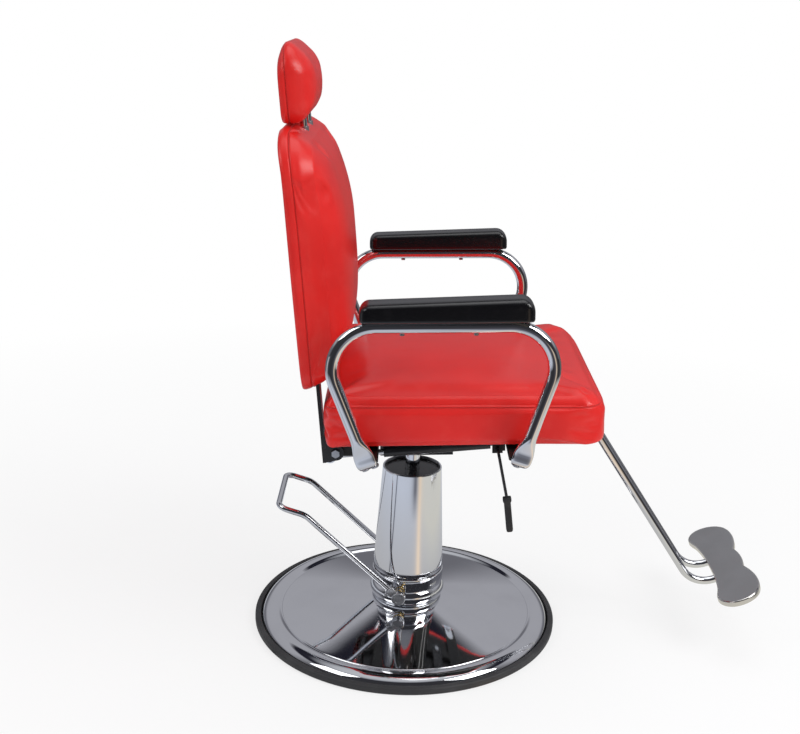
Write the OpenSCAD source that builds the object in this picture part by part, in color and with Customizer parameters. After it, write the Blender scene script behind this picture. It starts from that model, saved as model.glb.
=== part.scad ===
// Hydraulic reclining barber chair with a chrome pedestal, lift pump, armrests,
// recliner back, sliding headrest and fixed footrest.
// Frame: origin on the floor under the pump, +Z up, the sitter faces -Y, +X is the sitter's left.
// Forward distances are written as s = -y. The seat and all it carries lean back by seat_tilt.

/* [Base] */
// Outer radius of the rubber edge ring
base_r = 292; // [240:1:340]
// Height of the rubber edge ring
base_ring_h = 14; // [12:1:20]
// Width of the rubber edge ring
base_ring_w = 14; // [10:1:20]
// Height of the chrome dome where it meets the collar
dome_top = 52; // [46:1:70]
// Radius of the round bead at the rim of the dome
dome_bead_r = 17; // [10:1:22]
// Sheet thickness of the chrome dome
dome_wall = 2; // [1.5:0.5:3]
// Thickness of the steel base plate
plate_t = 8; // [6:1:14]

/* [Pump] */
// Radius of the chrome collar
collar_r = 70; // [64:1:80]
// Height of the lower bead of the collar
collar_bead_h = 28; // [20:1:34]
// Height of the upper band of the collar
collar_band_h = 28; // [22:1:34]
// Largest radius of the chrome shroud
shroud_r = 66.5; // [60:0.5:70]
// Radius of the shroud at its top
shroud_top_r = 56; // [50:0.5:60]
// Height of the top of the shroud above the floor
shroud_top = 316; // [290:1:360]
// Sheet thickness of the shroud
shroud_wall = 1.5; // [1:0.25:3]
// Bore radius of the pump cylinder
cylinder_bore_r = 30; // [26:1:34]
// Wall of the pump cylinder
cylinder_wall = 5; // [3:1:8]
// Radius of the piston rod
rod_r = 13.5; // [11:0.5:16]
// Height of the piston above the floor of the cylinder
piston_lift = 57; // [56:1:58]
// Thickness of the piston
piston_t = 20; // [16:1:26]

/* [Pedal] */
// Half the distance between the two arms of the pedal
pedal_half = 80; // [76:1:90]
// Radius of the pedal rod
pedal_r = 5.5; // [4:0.5:7]
// Height of the pedal shaft
pedal_z = 78; // [72:1:84]
// Distance of the pedal shaft behind the pump axis
pedal_back = 17; // [12:1:20]
// Radius of the pedal shaft
pedal_shaft_r = 8; // [6:0.5:9]
// Distance of the pedal's bend behind the pump axis
pedal_bend_s = 195; // [170:1:220]
// Height of the pedal's bend
pedal_bend_z = 242; // [220:1:260]
// Distance of the pedal's cross bar behind the pump axis
pedal_end_s = 244; // [232:1:280]
// Height of the pedal's cross bar
pedal_end_z = 257; // [245:1:280]

/* [Seat] */
// Height of the seat frame's reference line
seat_z = 400; // [380:1:420]
// Backward tilt of the seat
seat_tilt = 3; // [1:0.5:5]
// Half the width of the seat cushion
seat_half_w = 242; // [225:1:250]
// Distance of the seat cushion's rear behind the pump axis
seat_rear = 151; // [145:1:152]
// Distance of the seat cushion's front before the pump axis
seat_front = 328; // [300:1:335]
// Height of the seat board's underside above the reference line
seat_bottom = 51; // [50:1:56]
// Depth of the cushion's skirt below the board
seat_skirt = 10; // [4:1:10]
// Height of the top seam at the rear
seam_rear_z = 116; // [108:1:130]
// Height of the top seam at the front
seam_front_z = 111; // [105:1:125]
// Rise of the seat's crown over its seam
seat_crown = 29; // [24:1:34]
// Radius of the seat's rear corners
seat_rear_corner = 16; // [14:1:60]
// Radius of the seat's front corners
seat_front_corner = 50; // [30:1:90]
// Thickness of the seat board
seat_board_t = 12; // [9:1:15]

/* [Arms] */
// Half the distance between the two armrest tubes
arm_x = 283; // [275:1:300]
// Radius of the armrest tube
arm_r = 11; // [9:0.5:13]
// Wall of the armrest tube
arm_wall = 1.5; // [1:0.5:3]
// Height of the armrest tube's top run
arm_top = 267; // [250:1:290]
// Radius of the armrest's upper bends
arm_bend = 72; // [60:1:80]
// Foot of the armrest's rear leg
arm_rear_s = -80; // [-88:1:-75]
// Foot of the armrest's front leg
arm_front_s = 175; // [165:1:190]
// Lean of the armrest's legs
arm_lean = 19.1; // [12:0.1:22]
// Width of the flattened ends
strap_w = 34; // [30:1:36]
// Thickness of the flattened ends
strap_t = 5; // [4:0.5:6]
// Width of the arm pads
pad_w = 55; // [45:1:62]
// Height of the arm pads
pad_h = 34; // [26:1:38]
// Rise of the pads' top towards the front, in degrees
pad_slope = 1.9; // [0.5:0.1:3]
// Rear end of the arm pads
pad_rear = -86; // [-100:1:-70]
// Front end of the arm pads
pad_front = 192; // [175:1:200]

/* [Back] */
// Half the width of the back cushion
back_half_w = 217; // [214:1:235]
// Height of the back cushion
back_h = 440; // [430:1:500]
// Depth of the back cushion behind the bracket line
back_rear = 27; // [26:1:34]
// Depth of the back cushion before the bracket line
back_front = 66; // [55:1:75]
// Radius of the back's upper corners
back_corner = 80; // [50:1:110]
// Lean of the back against the seat
back_lean = 3; // [1:0.5:5]
// Thickness of the back board
back_board_t = 12; // [9:1:15]
// Thickness of the padded rear panel
back_panel_t = 15; // [10:1:15]

/* [Headrest] */
// Half the width of the headrest
head_half_w = 120; // [100:1:140]
// Height of the headrest
head_h = 126; // [100:1:150]
// Depth of the headrest behind its posts' axis
head_rear = 29; // [26:1:36]
// Depth of the headrest before its posts' axis
head_front = 31.5; // [28:0.5:36]
// Radius of the headrest posts
post_r = 6; // [5:0.5:7]
// Half the distance between the posts
post_x = 46; // [35:1:60]
// Gap between the back and the headrest
head_gap = 1.5; // [1:0.5:10]

/* [Footrest] */
// Radius of the footrest tubes
foot_r = 7.5; // [6:0.5:9]
// Half the distance between the footrest tubes
foot_x = 35; // [30:1:45]
// Height of the footrest tubes under the seat
foot_run_z = 12; // [8:1:14]
// Where the footrest tubes turn down
foot_turn_s = 328; // [326:1:340]
// Slope of the footrest tubes
foot_slope = 58; // [50:0.1:65]
// Depth of the tubes' lower corner below the reference line
foot_low_z = 334; // [280:1:350]
// Rise of the tubes' last stretch and of the footplate
foot_rise = 18; // [5:1:25]
// Radius of the bends of the footrest tubes
foot_bend = 54; // [35:1:60]
// Half the width of the footplate
plate_half_w = 157; // [130:1:180]
// Depth of the footplate, front to back
plate_d = 87; // [80:1:100]
// Thickness of the footplate
plate_h = 12; // [10:1:16]

/* [Hidden] */
$fn = 64;

// Fits
running = 0.05;   // radial clearance of a shaft that turns or slides
loose = 0.5;      // clearance of what only lies beside a moving piece
eps = 0.01;
step = 0.1;       // straight stretches of a bent bar are this much slimmer than its bends
lap = 1.5;        // and reach this far into them

// Base
lip_t = 3;
lip_w = 28;
dome_rim_r = base_r - base_ring_w;
dome_bead_z = lip_t + 2;
cone_foot_z = 17.5;
plate_r = base_r - lip_w + 8;
cover_bore_r = collar_r - 8;

// Pump
housing_r = collar_r - 10;
housing_top = dome_top + collar_bead_h + collar_band_h - 10;
plate_top = lip_t + plate_t;
cylinder_r = cylinder_bore_r + cylinder_wall;
gland_t = 16;
cylinder_top = shroud_top - 22;
piston_z = housing_top + piston_lift;
stub_r = rod_r - 4;
rod_top = seat_z + 18;
plunger_r = 7;
plunger_s = 5;
cam_arm = plunger_s + pedal_back;
cam_w = 14;
cam_t = 10;
pedal_travel = 25;
cavity_w = 20;
cavity_h = 15;
bush_wall = 3;
bolt_r = 5;
housing_bolt_pcd = housing_r - 14;

// Seat frame
rail_x = 165;
rail_w = 20;
rail_z = seat_bottom - 18;
bar_t = 6;
hinge_s = -135;
hinge_z = 22;
hinge_plate_x = 190;
hinge_plate_t = 5;
hinge_lug_r = 13;
hinge_pin_r = 6;
mount_half_w = 100;
mount_rear = -62;
mount_front = 69;
mount_low = -24;
mount_t = 5;
mount_flange_w = rail_x + rail_w / 2;
hub_r = rod_r + 12;

// Arms
leg_flat_z = 57;
strap_bend = 12;
strap_z = 35;
strap_in = 62;
arm_bolt_r = 4;
arm_bolt_gap = 16;
arm_bolt_x = arm_x - strap_bend - 11;
foot_z = 34;

// Back and gas spring
back_s = -160;
back_z = 132;
bracket_t = 6;
bracket_w = 30;
bracket_x = hinge_plate_x + hinge_plate_t + 6;
bracket_front = 2;
bracket_top = 160;
tube_r = 9;
crank_x = -130;
crank_s = -15;
crank_drop = -33;
crank_pin_r = 4;
crank_gap = 14;
crank_t = 4;
spring_front_s = 150;
spring_front_z = 10;
gas_r = 10;
gas_rod_r = 5;
eye_play = 3.8;
sleeve_r = post_r + 2;
sleeve_low = back_h - 110;
sleeve_top = back_h - 16;

// Release lever
release_s = 142;
release_z = 27;
release_x = -222;
release_r = 4;
release_wire_r = 2.6;
release_tip_s = 158;
release_tip_z = -60;
release_slope = atan2(release_tip_s - release_s, release_z - release_tip_z);
release_bend = 9;

// Headrest
head_low = back_h + head_gap;
head_board_t = 10;

// ---------------------------------------------------------------- frames and helpers

// Places its children in the seat's own tilted frame
module seat_place() {
    translate([0, 0, seat_z]) rotate([-seat_tilt, 0, 0]) children();
}

// Places its children in the frame of the back: z runs up the back, -y forward
module back_place() {
    seat_place() translate([0, -back_s, back_z]) rotate([-back_lean, 0, 0]) children();
}

// Cylinder along X, centred on x = 0
module rod_x(r, l) {
    rotate([0, 90, 0]) cylinder(r = r, h = l, center = true);
}

// Cylinder along X from x = a to x = b at forward distance s and height z
module bar_x(r, a, b, s, z) {
    translate([(a + b) / 2, -s, z]) rod_x(r, abs(b - a));
}

// Block given by its limits along x, s and z
module block(x0, x1, s0, s1, z0, z1) {
    translate([x0, -s1, z0]) cube([x1 - x0, s1 - s0, z1 - z0]);
}

// Hexagon head with its axis along Z, standing on z = 0
module hex_head(across, h) {
    cylinder(r = across / sqrt(3), h = h, $fn = 6);
}

// Radius of a straight stretch of a bent bar of radius r
function straight(r) = r - step;
function unit(v) = v / norm(v);
function turn(a, b) = acos(max(-1, min(1, unit(a) * unit(b))));

// Puts local Z along direction d and local X along direction e, square to d
module along(p, d, e) {
    f = cross(d, e);
    multmatrix([[e[0], f[0], d[0], p[0]], [e[1], f[1], d[1], p[1]], [e[2], f[2], d[2], p[2]],
        [0, 0, 0, 1]]) children();
}

// Round bar along points p, each inner corner i rounded with bend radius b[i]
module bent_bar(p, b, r) {
    n = len(p);
    cut = [for (i = [0:n - 1]) i == 0 || i == n - 1 ? 0
        : b[i] * tan(turn(p[i] - p[i - 1], p[i + 1] - p[i]) / 2)];
    for (i = [0:n - 2]) {
        d = unit(p[i + 1] - p[i]);
        h = norm(p[i + 1] - p[i]) - cut[i] - cut[i + 1];
        e = abs(d[0]) > 0.9 ? [0, 1, 0] : [1, 0, 0];
        low = i == 0 ? 0 : lap;
        high = i == n - 2 ? 0 : lap;
        along(p[i] + d * (cut[i] - low), d, unit(e - d * (e * d)))
            cylinder(r = straight(r), h = h + low + high);
    }
    for (i = [1:n - 2]) {
        d = unit(p[i] - p[i - 1]);
        q = unit(p[i + 1] - p[i]);
        inward = unit(q - d * (q * d));
        along(p[i] - d * cut[i] + inward * b[i], cross(-inward, d), -inward)
            rotate_extrude(angle = turn(d, q)) translate([b[i], 0]) circle(r = r);
    }
}

// Rounded rectangle outline of half sizes w and l, corner radius c, m steps a corner, k a side
function corner_arc(w, l, c, q, m) = [for (i = [0:m])
    let (a = 90 * q + 90 * i / m)
    [(q == 0 || q == 3 ? w - c : c - w) + c * cos(a), (q < 2 ? l - c : c - l) + c * sin(a)]];
function outline(w, l, c0, c1, m, k) = let (
        c = [c0, c0, c1, c1],
        arcs = [for (q = [0:3]) corner_arc(w, l, c[q], q, m)])
    [for (q = [0:3]) each concat(arcs[q],
        [for (j = [1:k]) arcs[q][m] + (arcs[(q + 1) % 4][0] - arcs[q][m]) * j / (k + 1)])];

// Closed solid through rings of equal count, with a fan at each end
module ring_solid(rings) {
    n = len(rings[0]);
    m = len(rings);
    points = concat([for (r = rings) each r], [mean(rings[0]), mean(rings[m - 1])]);
    faces = concat(
        [for (i = [0:m - 2]) for (j = [0:n - 1]) let (a = i * n + j, b = i * n + (j + 1) % n)
            each [[a, a + n, b], [b, a + n, b + n]]],
        [for (j = [0:n - 1]) [m * n, j, (j + 1) % n]],
        [for (j = [0:n - 1]) [m * n + 1, (m - 1) * n + (j + 1) % n, (m - 1) * n + j]]);
    polyhedron(points = points, faces = faces, convexity = 6);
}
// Crown of a cushion over its normalised plan: 1 in the middle, 0 along the edges
function pillow(u, v, p) = (1 - pow(min(1, abs(u)), p)) * (1 - pow(min(1, abs(v)), p));
function mean(ring) = [for (a = [0:2]) sum([for (p = ring) p[a]]) / len(ring)];
function sum(v, i = 0) = i >= len(v) ? 0 : v[i] + sum(v, i + 1);

// ---------------------------------------------------------------- base

module base_ring() {
    color("#1b1b1d") rotate_extrude($fn = 128) {
        translate([base_r - lip_w, 0]) square([lip_w - 4, lip_t]);
        translate([dome_rim_r, 0]) square([base_ring_w - 4, base_ring_h]);
        translate([base_r - 4, 4]) circle(r = 4);
        translate([base_r - 4, base_ring_h - 4]) circle(r = 4);
        translate([base_r - 5, 4]) square([5, base_ring_h - 8]);
    }
}

module base_plate() {
    color("#3c3c40") difference() {
        translate([0, 0, lip_t]) cylinder(r = plate_r, h = plate_t, $fn = 128);
        for (a = [45:90:315]) rotate(a) translate([housing_bolt_pcd, 0, 0])
            cylinder(r = bolt_r, h = plate_top + 1);
    }
}

// Profile of the dome from its rim to the collar, drawn in by t
module dome_profile(t) {
    intersection() {
        union() {
            translate([dome_rim_r - dome_bead_r, dome_bead_z]) circle(r = dome_bead_r - t);
            polygon([[0, lip_t], [dome_rim_r - dome_bead_r, lip_t],
                [dome_rim_r - dome_bead_r, cone_foot_z - t], [cover_bore_r, dome_top - t],
                [0, dome_top - t]]);
        }
        translate([0, lip_t]) square([base_r, dome_top]);
    }
}

module base_cover() {
    color("#c8ccd2") rotate_extrude($fn = 128) difference() {
        dome_profile(0);
        dome_profile(dome_wall);
        square([cover_bore_r, dome_top + 1]);
    }
}

// ---------------------------------------------------------------- pump

module pump_housing() {
    bore_z = pedal_z;
    color("#2f3136") difference() {
        translate([0, 0, plate_top]) cylinder(r = housing_r, h = housing_top - plate_top);
        bar_x(pedal_shaft_r + bush_wall, -housing_r - 1, housing_r + 1, -pedal_back, bore_z);
        block(-cavity_w / 2, cavity_w / 2, -pedal_back - 16, plunger_s + 10, bore_z - cavity_h,
            bore_z + cavity_h);
        translate([0, -plunger_s, bore_z]) cylinder(r = plunger_r + running, h = 60);
        for (a = [45:90:315]) rotate(a) translate([housing_bolt_pcd, 0, 0])
            cylinder(r = bolt_r, h = plate_top + 16);
    }
}

module housing_bolts() {
    color("#8a8d92") for (a = [45:90:315]) rotate(a) translate([housing_bolt_pcd, 0, lip_t])
        cylinder(r = bolt_r, h = plate_t + 15);
}

module shaft_bushes() {
    inner = cavity_w / 2 + 1;
    outer = sqrt(pow(housing_r, 2) - pow(pedal_back + pedal_shaft_r + bush_wall, 2)) - loose;
    color("#b08d4a") for (side = [-1, 1]) difference() {
        bar_x(pedal_shaft_r + bush_wall, side * inner, side * outer, -pedal_back, pedal_z);
        bar_x(pedal_shaft_r + running, side * (inner - 1), side * housing_r, -pedal_back, pedal_z);
    }
}

module pump_cylinder() {
    color("#54575c") difference() {
        translate([0, 0, housing_top]) cylinder(r = cylinder_r, h = cylinder_top - housing_top);
        translate([0, 0, housing_top + 2]) cylinder(r = cylinder_bore_r, h = cylinder_top);
        translate([0, -plunger_s, housing_top - 1]) cylinder(r = plunger_r + running, h = 4);
    }
}

module gland_nut() {
    color("#6a6d72") difference() {
        union() {
            translate([0, 0, cylinder_top - gland_t]) cylinder(r = cylinder_bore_r, h = gland_t);
            translate([0, 0, cylinder_top]) cylinder(r = cylinder_r + 4, h = 5, $fn = 6);
        }
        translate([0, 0, cylinder_top - gland_t - 1]) cylinder(r = rod_r + 1, h = gland_t + 8);
        translate([0, 0, cylinder_top - gland_t + 4]) cylinder(r = rod_r + 4, h = 8);
    }
}

module rod_seal() {
    color("#101010") difference() {
        translate([0, 0, cylinder_top - gland_t + 4]) cylinder(r = rod_r + 4, h = 8);
        translate([0, 0, cylinder_top - gland_t]) cylinder(r = rod_r + running, h = gland_t);
    }
}

module pump_collar() {
    bead_mid = dome_top + collar_bead_h / 2;
    top = dome_top + collar_bead_h + collar_band_h;
    color("#cfd3d8") difference() {
        rotate_extrude($fn = 128) {
            intersection() {
                translate([collar_r - 21, bead_mid]) circle(r = 22, $fn = 96);
                translate([housing_r, dome_top]) square([20, collar_bead_h]);
            }
            translate([housing_r, dome_top + collar_bead_h - 1])
                square([collar_r - 1.5 - housing_r, collar_band_h + 1]);
        }
        bar_x(pedal_shaft_r + 1, -collar_r - 5, collar_r + 5, -pedal_back, pedal_z);
        translate([0, 0, top - 10]) cylinder(r = shroud_r - shroud_wall - 4, h = 20);
        translate([0, 0, top - 3]) cylinder(r1 = shroud_r - 5, r2 = shroud_r - 0.5, h = 3 + eps);
    }
}

// Outline of the shroud: turned in at the foot, widest low down, then a slow taper
module shroud_profile(t) {
    foot = dome_top + collar_bead_h + collar_band_h;
    waist = foot + 42;
    arc_r = 240;
    lean = atan((shroud_r - shroud_top_r) / (shroud_top - waist));
    intersection() {
        translate([shroud_r - arc_r, waist]) circle(r = arc_r - t, $fn = 360);
        translate([0, foot]) square([shroud_r, waist - foot]);
    }
    polygon([[0, waist - eps], [shroud_r - t, waist - eps], [shroud_r - t, waist],
        [shroud_top_r - t, shroud_top - 3], [0, shroud_top - 3]]);
    translate([0, shroud_top - 3 - eps]) square([shroud_top_r - 2 - t, 3]);
    translate([shroud_top_r - 3 - t, shroud_top - 3]) circle(r = 3);
}

module pump_shroud() {
    color("#d3d6db") rotate_extrude($fn = 128) difference() {
        shroud_profile(0);
        difference() {
            shroud_profile(shroud_wall);
            translate([0, shroud_top - 2]) square([shroud_r, 10]);
        }
        square([shroud_top_r - 5, shroud_top + 1]);
    }
}

module shroud_cap() {
    cap_z = shroud_top - 10;
    nut_top = cylinder_top + 5;
    color("#17181a") difference() {
        union() {
            translate([0, 0, cap_z]) cylinder(r = shroud_top_r - shroud_wall, h = 4);
            translate([0, 0, nut_top]) cylinder(r = cylinder_bore_r, h = cap_z - nut_top + 1);
        }
        translate([0, 0, nut_top - 1]) cylinder(r = rod_r + loose, h = 20);
    }
}

// Return spring of the pedal: one and a half turns round the shaft and a hook on the collar
spring_wire_r = 0.7;
spring_coil_r = pedal_shaft_r + 2.2;
spring_turns = 1.5;
spring_steps = 10;
spring_x = collar_r + 1.8;
spring_pitch = 1.9;
function spring_path() = let (n = spring_turns * spring_steps) concat(
    [for (i = [0:n]) let (a = -90 + 360 * i / spring_steps)
        [-spring_x - spring_pitch * i / spring_steps, pedal_back - spring_coil_r * cos(a),
            pedal_z + spring_coil_r * sin(a)]],
    [[-spring_x - spring_pitch * spring_turns, pedal_back - 4, pedal_z + spring_coil_r + 4],
        [-spring_x - 2, pedal_back - 8, pedal_z + spring_coil_r + 12],
        [-spring_x, pedal_back - 12, pedal_z + spring_coil_r + 14]]);
function tube_ring(p, i, r, k) = let (
        d = unit(p[min(i + 1, len(p) - 1)] - p[max(i - 1, 0)]),
        e = unit(cross(d, abs(d[0]) > 0.8 ? [0, 0, 1] : [1, 0, 0])),
        f = cross(d, e))
    [for (j = [0:k - 1]) p[i] + r * (cos(360 * j / k) * e + sin(360 * j / k) * f)];
// Least gap of the wire to itself: points at least half a turn apart along the path
function spring_gap(p) = min([for (i = [0:len(p) - 1], j = [0:len(p) - 1])
    if (j >= i + spring_steps / 2) norm(p[j] - p[i]) - 2 * spring_wire_r]);
module pedal_spring() {
    p = spring_path();
    echo(spring_least_gap = spring_gap(p));
    color("#b58f45") ring_solid([for (i = [0:len(p) - 1]) tube_ring(p, i, spring_wire_r, 8)]);
}

module pump_plunger() {
    low = pedal_z + cam_t / 2 + 0.3 - cam_arm * sin(pedal_travel / 2);
    color("#9a9da2") translate([0, -plunger_s, low])
        cylinder(r = plunger_r, h = housing_top - low - 1);
}

// ---------------------------------------------------------------- pedal

module pedal_shaft() {
    color("#a5a8ad") bar_x(pedal_shaft_r, -pedal_half - 9, pedal_half + 9, -pedal_back, pedal_z);
}

module pump_cam() {
    color("#6b6e73") translate([0, pedal_back, pedal_z]) rotate([pedal_travel / 2, 0, 0])
        difference() {
            union() {
                rod_x(pedal_shaft_r + 5, cam_w);
                translate([-cam_w / 2, -cam_arm, -cam_t / 4]) cube([cam_w, cam_arm, cam_t / 2]);
                translate([0, -cam_arm, 0]) rod_x(cam_t / 2, cam_w);
            }
            rod_x(pedal_shaft_r, cam_w + 2);
        }
}

pedal_slope = atan2(pedal_bend_z - pedal_z, pedal_bend_s - pedal_back);
module pedal_clamps() {
    boss_w = 12;
    socket_w = 15;
    color("#b9bcc1") for (side = [-1, 1]) translate([side * pedal_half, pedal_back, pedal_z])
        rotate([pedal_slope, 0, 0]) difference() {
            union() {
                translate([side * 3.5, 0, 0]) rod_x(pedal_shaft_r + 5, boss_w);
                translate([-socket_w / 2, 11.5, -8.5]) cube([socket_w, 15, 17]);
            }
            translate([side * 3.5, 0, 0]) rod_x(pedal_shaft_r, boss_w + 2);
            translate([0, 14, 0]) rotate([-90, 0, 0]) cylinder(r = straight(pedal_r), h = 20);
            translate([0, 20, -20]) cylinder(r = 2.5, h = 18);
        }
}

module pedal_screws() {
    color("#77797d") for (side = [-1, 1]) translate([side * pedal_half, pedal_back, pedal_z])
        rotate([pedal_slope, 0, 0]) translate([0, 20, -pedal_r]) mirror([0, 0, 1]) {
            cylinder(r = 2.5, h = 4);
            translate([0, 0, 3.2]) hex_head(9, 5);
        }
}

module pedal_bar() {
    start = [0, pedal_back + 14 * cos(pedal_slope), pedal_z + 14 * sin(pedal_slope)];
    bend = [0, pedal_bend_s, pedal_bend_z];
    tip = [0, pedal_end_s, pedal_end_z];
    left = [pedal_half, 0, 0];
    color("#d6d9dd") bent_bar([start + left, bend + left, tip + left, tip - left, bend - left,
        start - left], [0, 40, 18, 18, 40, 0], pedal_r);
}

// ---------------------------------------------------------------- piston

module piston_head() {
    color("#85888d") translate([0, 0, piston_z]) difference() {
        cylinder(r = cylinder_bore_r - running, h = piston_t);
        translate([0, 0, 6]) difference() {
            cylinder(r = cylinder_bore_r + 1, h = 5);
            translate([0, 0, -1]) cylinder(r = cylinder_bore_r - 4, h = 7);
        }
        translate([0, 0, 4]) cylinder(r = stub_r + running, h = piston_t);
    }
}

module piston_seal() {
    color("#141414") translate([0, 0, piston_z + 6]) difference() {
        cylinder(r = cylinder_bore_r - running, h = 5);
        translate([0, 0, -1]) cylinder(r = cylinder_bore_r - 4, h = 7);
    }
}

module piston_rod() {
    color("#dadde1") {
        translate([0, 0, piston_z + 4]) cylinder(r = stub_r, h = piston_t - 4 + eps);
        translate([0, 0, piston_z + piston_t]) cylinder(r = rod_r, h = rod_top - piston_z - piston_t);
    }
}

// ---------------------------------------------------------------- seat

// Folded pan with the hub that grips the rod
module seat_mount() {
    color("#141416") difference() {
        union() {
            seat_place() {
                block(-mount_flange_w, mount_flange_w, mount_rear + 7, mount_front,
                    rail_z - mount_t, rail_z);
                for (side = [-1, 1]) block(side * (mount_half_w - 2) - 2, side * (mount_half_w - 2) + 2,
                    mount_rear, mount_front, mount_low, rail_z - mount_t + eps);
                for (s = [mount_rear, mount_front - 4]) block(-mount_half_w, mount_half_w, s, s + 4,
                    mount_low, rail_z - mount_t + eps);
            }
            intersection() {
                translate([0, 0, seat_z + mount_low]) cylinder(r = hub_r, h = 100);
                seat_place() block(-80, 80, -80, 80, mount_low, rail_z - eps);
            }
        }
        cylinder(r = rod_r, h = rod_top);
        seat_place() {
            for (side = [-1, 1]) translate([side * foot_x, 0, foot_run_z]) rotate([90, 0, 0])
                cylinder(r = straight(foot_r), h = mount_front + 20);
            for (x = [-rail_x, rail_x]) for (s = [mount_rear + 15, mount_front - 15])
                translate([x, -s, 0]) cylinder(r = bolt_r - 1, h = 60);
        }
    }
}

module mount_bolts() {
    color("#8c8f94") seat_place() for (x = [-rail_x, rail_x])
        for (s = [mount_rear + 15, mount_front - 15]) translate([x, -s, rail_z - mount_t]) {
            cylinder(r = bolt_r - 1, h = mount_t + 14);
            translate([0, 0, -5]) hex_head(13, 5 + eps);
        }
}

// Plate square to an armrest leg, lying on the flattened end
module arm_seat_bar(s, lean) {
    half = arm_bolt_x + 9;
    translate([0, -s, strap_z]) rotate([-lean, 0, 0]) translate([-half, -strap_w / 2,
        -strap_bend + strap_t / 2 + step]) cube([2 * half, strap_w, bar_t]);
}

function leg_s(foot, lean, z) = foot + tan(lean) * (z - foot_z);

module seat_frame() {
    rear = leg_s(arm_rear_s, -arm_lean, strap_z);
    front = leg_s(arm_front_s, arm_lean, strap_z);
    color("#4b433d") seat_place() difference() {
        union() {
            for (side = [-1, 1]) block(side * rail_x - rail_w / 2, side * rail_x + rail_w / 2,
                -seat_rear + 8, arm_front_s + 30, rail_z, seat_bottom);
            arm_seat_bar(rear, arm_lean);
            arm_seat_bar(front, -arm_lean);
            for (side = [-1, 1]) hinge_plate(side);
            for (side = [-1, 1]) block(min(side * rail_x, side * (hinge_plate_x + 2)),
                max(side * rail_x, side * (hinge_plate_x + 2)), -seat_rear + 8, rear - 4,
                seat_bottom - 6, seat_bottom);
            block(crank_x - 16, crank_x + 16, spring_front_s - 14, spring_front_s + 14,
                seat_bottom - 4, seat_bottom);
            for (side = [-1, 1]) block(crank_x + side * 14 - 2, crank_x + side * 14 + 2,
                spring_front_s - 10, spring_front_s + 10, spring_front_z - 10, seat_bottom - 4 + eps);
            block(-rail_x, crank_x - 14, spring_front_s - 14, spring_front_s + 14, seat_bottom - 4,
                seat_bottom);
            block(release_x + 20, release_x + 25, release_s - 9, release_s + 9, release_z - 9,
                seat_bottom);
            block(release_x + 20, -rail_x, release_s - 9, release_s + 9, seat_bottom - 4,
                seat_bottom);
        }
        for (side = [-1, 1]) translate([side * hinge_plate_x, -hinge_s, hinge_z])
            rod_x(hinge_pin_r + running, 30);
        arm_bolt_holes(rear, arm_lean, 2);
        arm_bolt_holes(front, -arm_lean, 1);
        for (x = [-rail_x, rail_x]) {
            for (s = [mount_rear + 15, mount_front - 15]) translate([x, -s, rail_z - 1])
                cylinder(r = bolt_r - 1, h = 15);
            translate([x, -clamp_s, rail_z - 1]) cylinder(r = 3, h = 9);
        }
        bar_x(crank_pin_r, crank_x - 30, crank_x + 30, spring_front_s, spring_front_z);
        bar_x(release_r + running, release_x, crank_x - 10, release_s, release_z);
        for (side = [-1, 1]) translate([side * foot_x, 0, foot_run_z]) rotate([90, 0, 0])
            cylinder(r = foot_r + loose, h = 600);
    }
}

module hinge_plate(side) {
    inner = side > 0 ? hinge_plate_x : -hinge_plate_x - hinge_plate_t;
    top = seat_bottom;
    translate([inner, 0, 0]) rotate([90, 0, 90]) linear_extrude(hinge_plate_t) {
        translate([-hinge_s, hinge_z]) circle(r = hinge_lug_r);
        polygon([[seat_rear - 3, top], [seat_rear - 3, hinge_z + 4], [-hinge_s + 4, hinge_z - 8],
            [88, hinge_z - 8], [88, top]]);
    }
}

module arm_bolt_holes(s, lean, count) {
    for (side = [-1, 1]) arm_bolt_place(s, lean, side, count) translate([0, 0, -30])
        cylinder(r = arm_bolt_r, h = 60);
}

// Places children at each bolt of one flattened end, on its underside
module arm_bolt_place(s, lean, side, count) {
    translate([0, -s, strap_z]) rotate([-lean, 0, 0]) for (k = [0:count - 1])
        translate([side * arm_bolt_x, (k - (count - 1) / 2) * arm_bolt_gap,
            -strap_bend - strap_t / 2 - step]) children();
}

module seat_board_outline(gap) {
    w = seat_half_w - 22 - gap;
    l = (seat_front + seat_rear) / 2 - 26 - gap;
    c = 40;
    translate([0, -(seat_front - seat_rear) / 2]) {
        square([2 * w, 2 * (l - c)], center = true);
        square([2 * (w - c), 2 * l], center = true);
        for (x = [c - w, w - c]) for (y = [c - l, l - c]) translate([x, y]) circle(r = c);
    }
}

module seat_board() {
    color("#b98f5a") seat_place() translate([0, 0, seat_bottom]) linear_extrude(seat_board_t)
        seat_board_outline(0.5);
}

// Rings of the seat cushion: [inset, share of the outline, height over the seam, crown share]
seat_levels = [[7, 0.85, -2, 0], [7, 1, -2, 0], [2.6, 1, -1, 0.05], [0.6, 1, -1, 0.2],
    [0, 1, -1, 0.5], [0.8, 1, -1, 0.78], [2.6, 1, -1, 0.94], [4.2, 1, 0, 0], [3, 1, 4, 0],
    [4.4, 1, 9.5, 0], [8, 1, 15, 0], [14, 1, 19.8, 0]];
seat_edge = 19.8;   // height over the seam where the crown begins
seat_low = seat_bottom - seat_skirt;
hinge_room = bracket_x + 8;   // half the width of the skirt's gap for the hinge
function seam_z(s) = seam_rear_z + (seam_front_z - seam_rear_z) * (s + seat_rear)
    / (seat_front + seat_rear);
seat_mid_s = (seat_front - seat_rear) / 2;
seat_half_l = (seat_front + seat_rear) / 2;
cap_inset = 14;   // where the top face of the cushion begins, from its side
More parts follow.
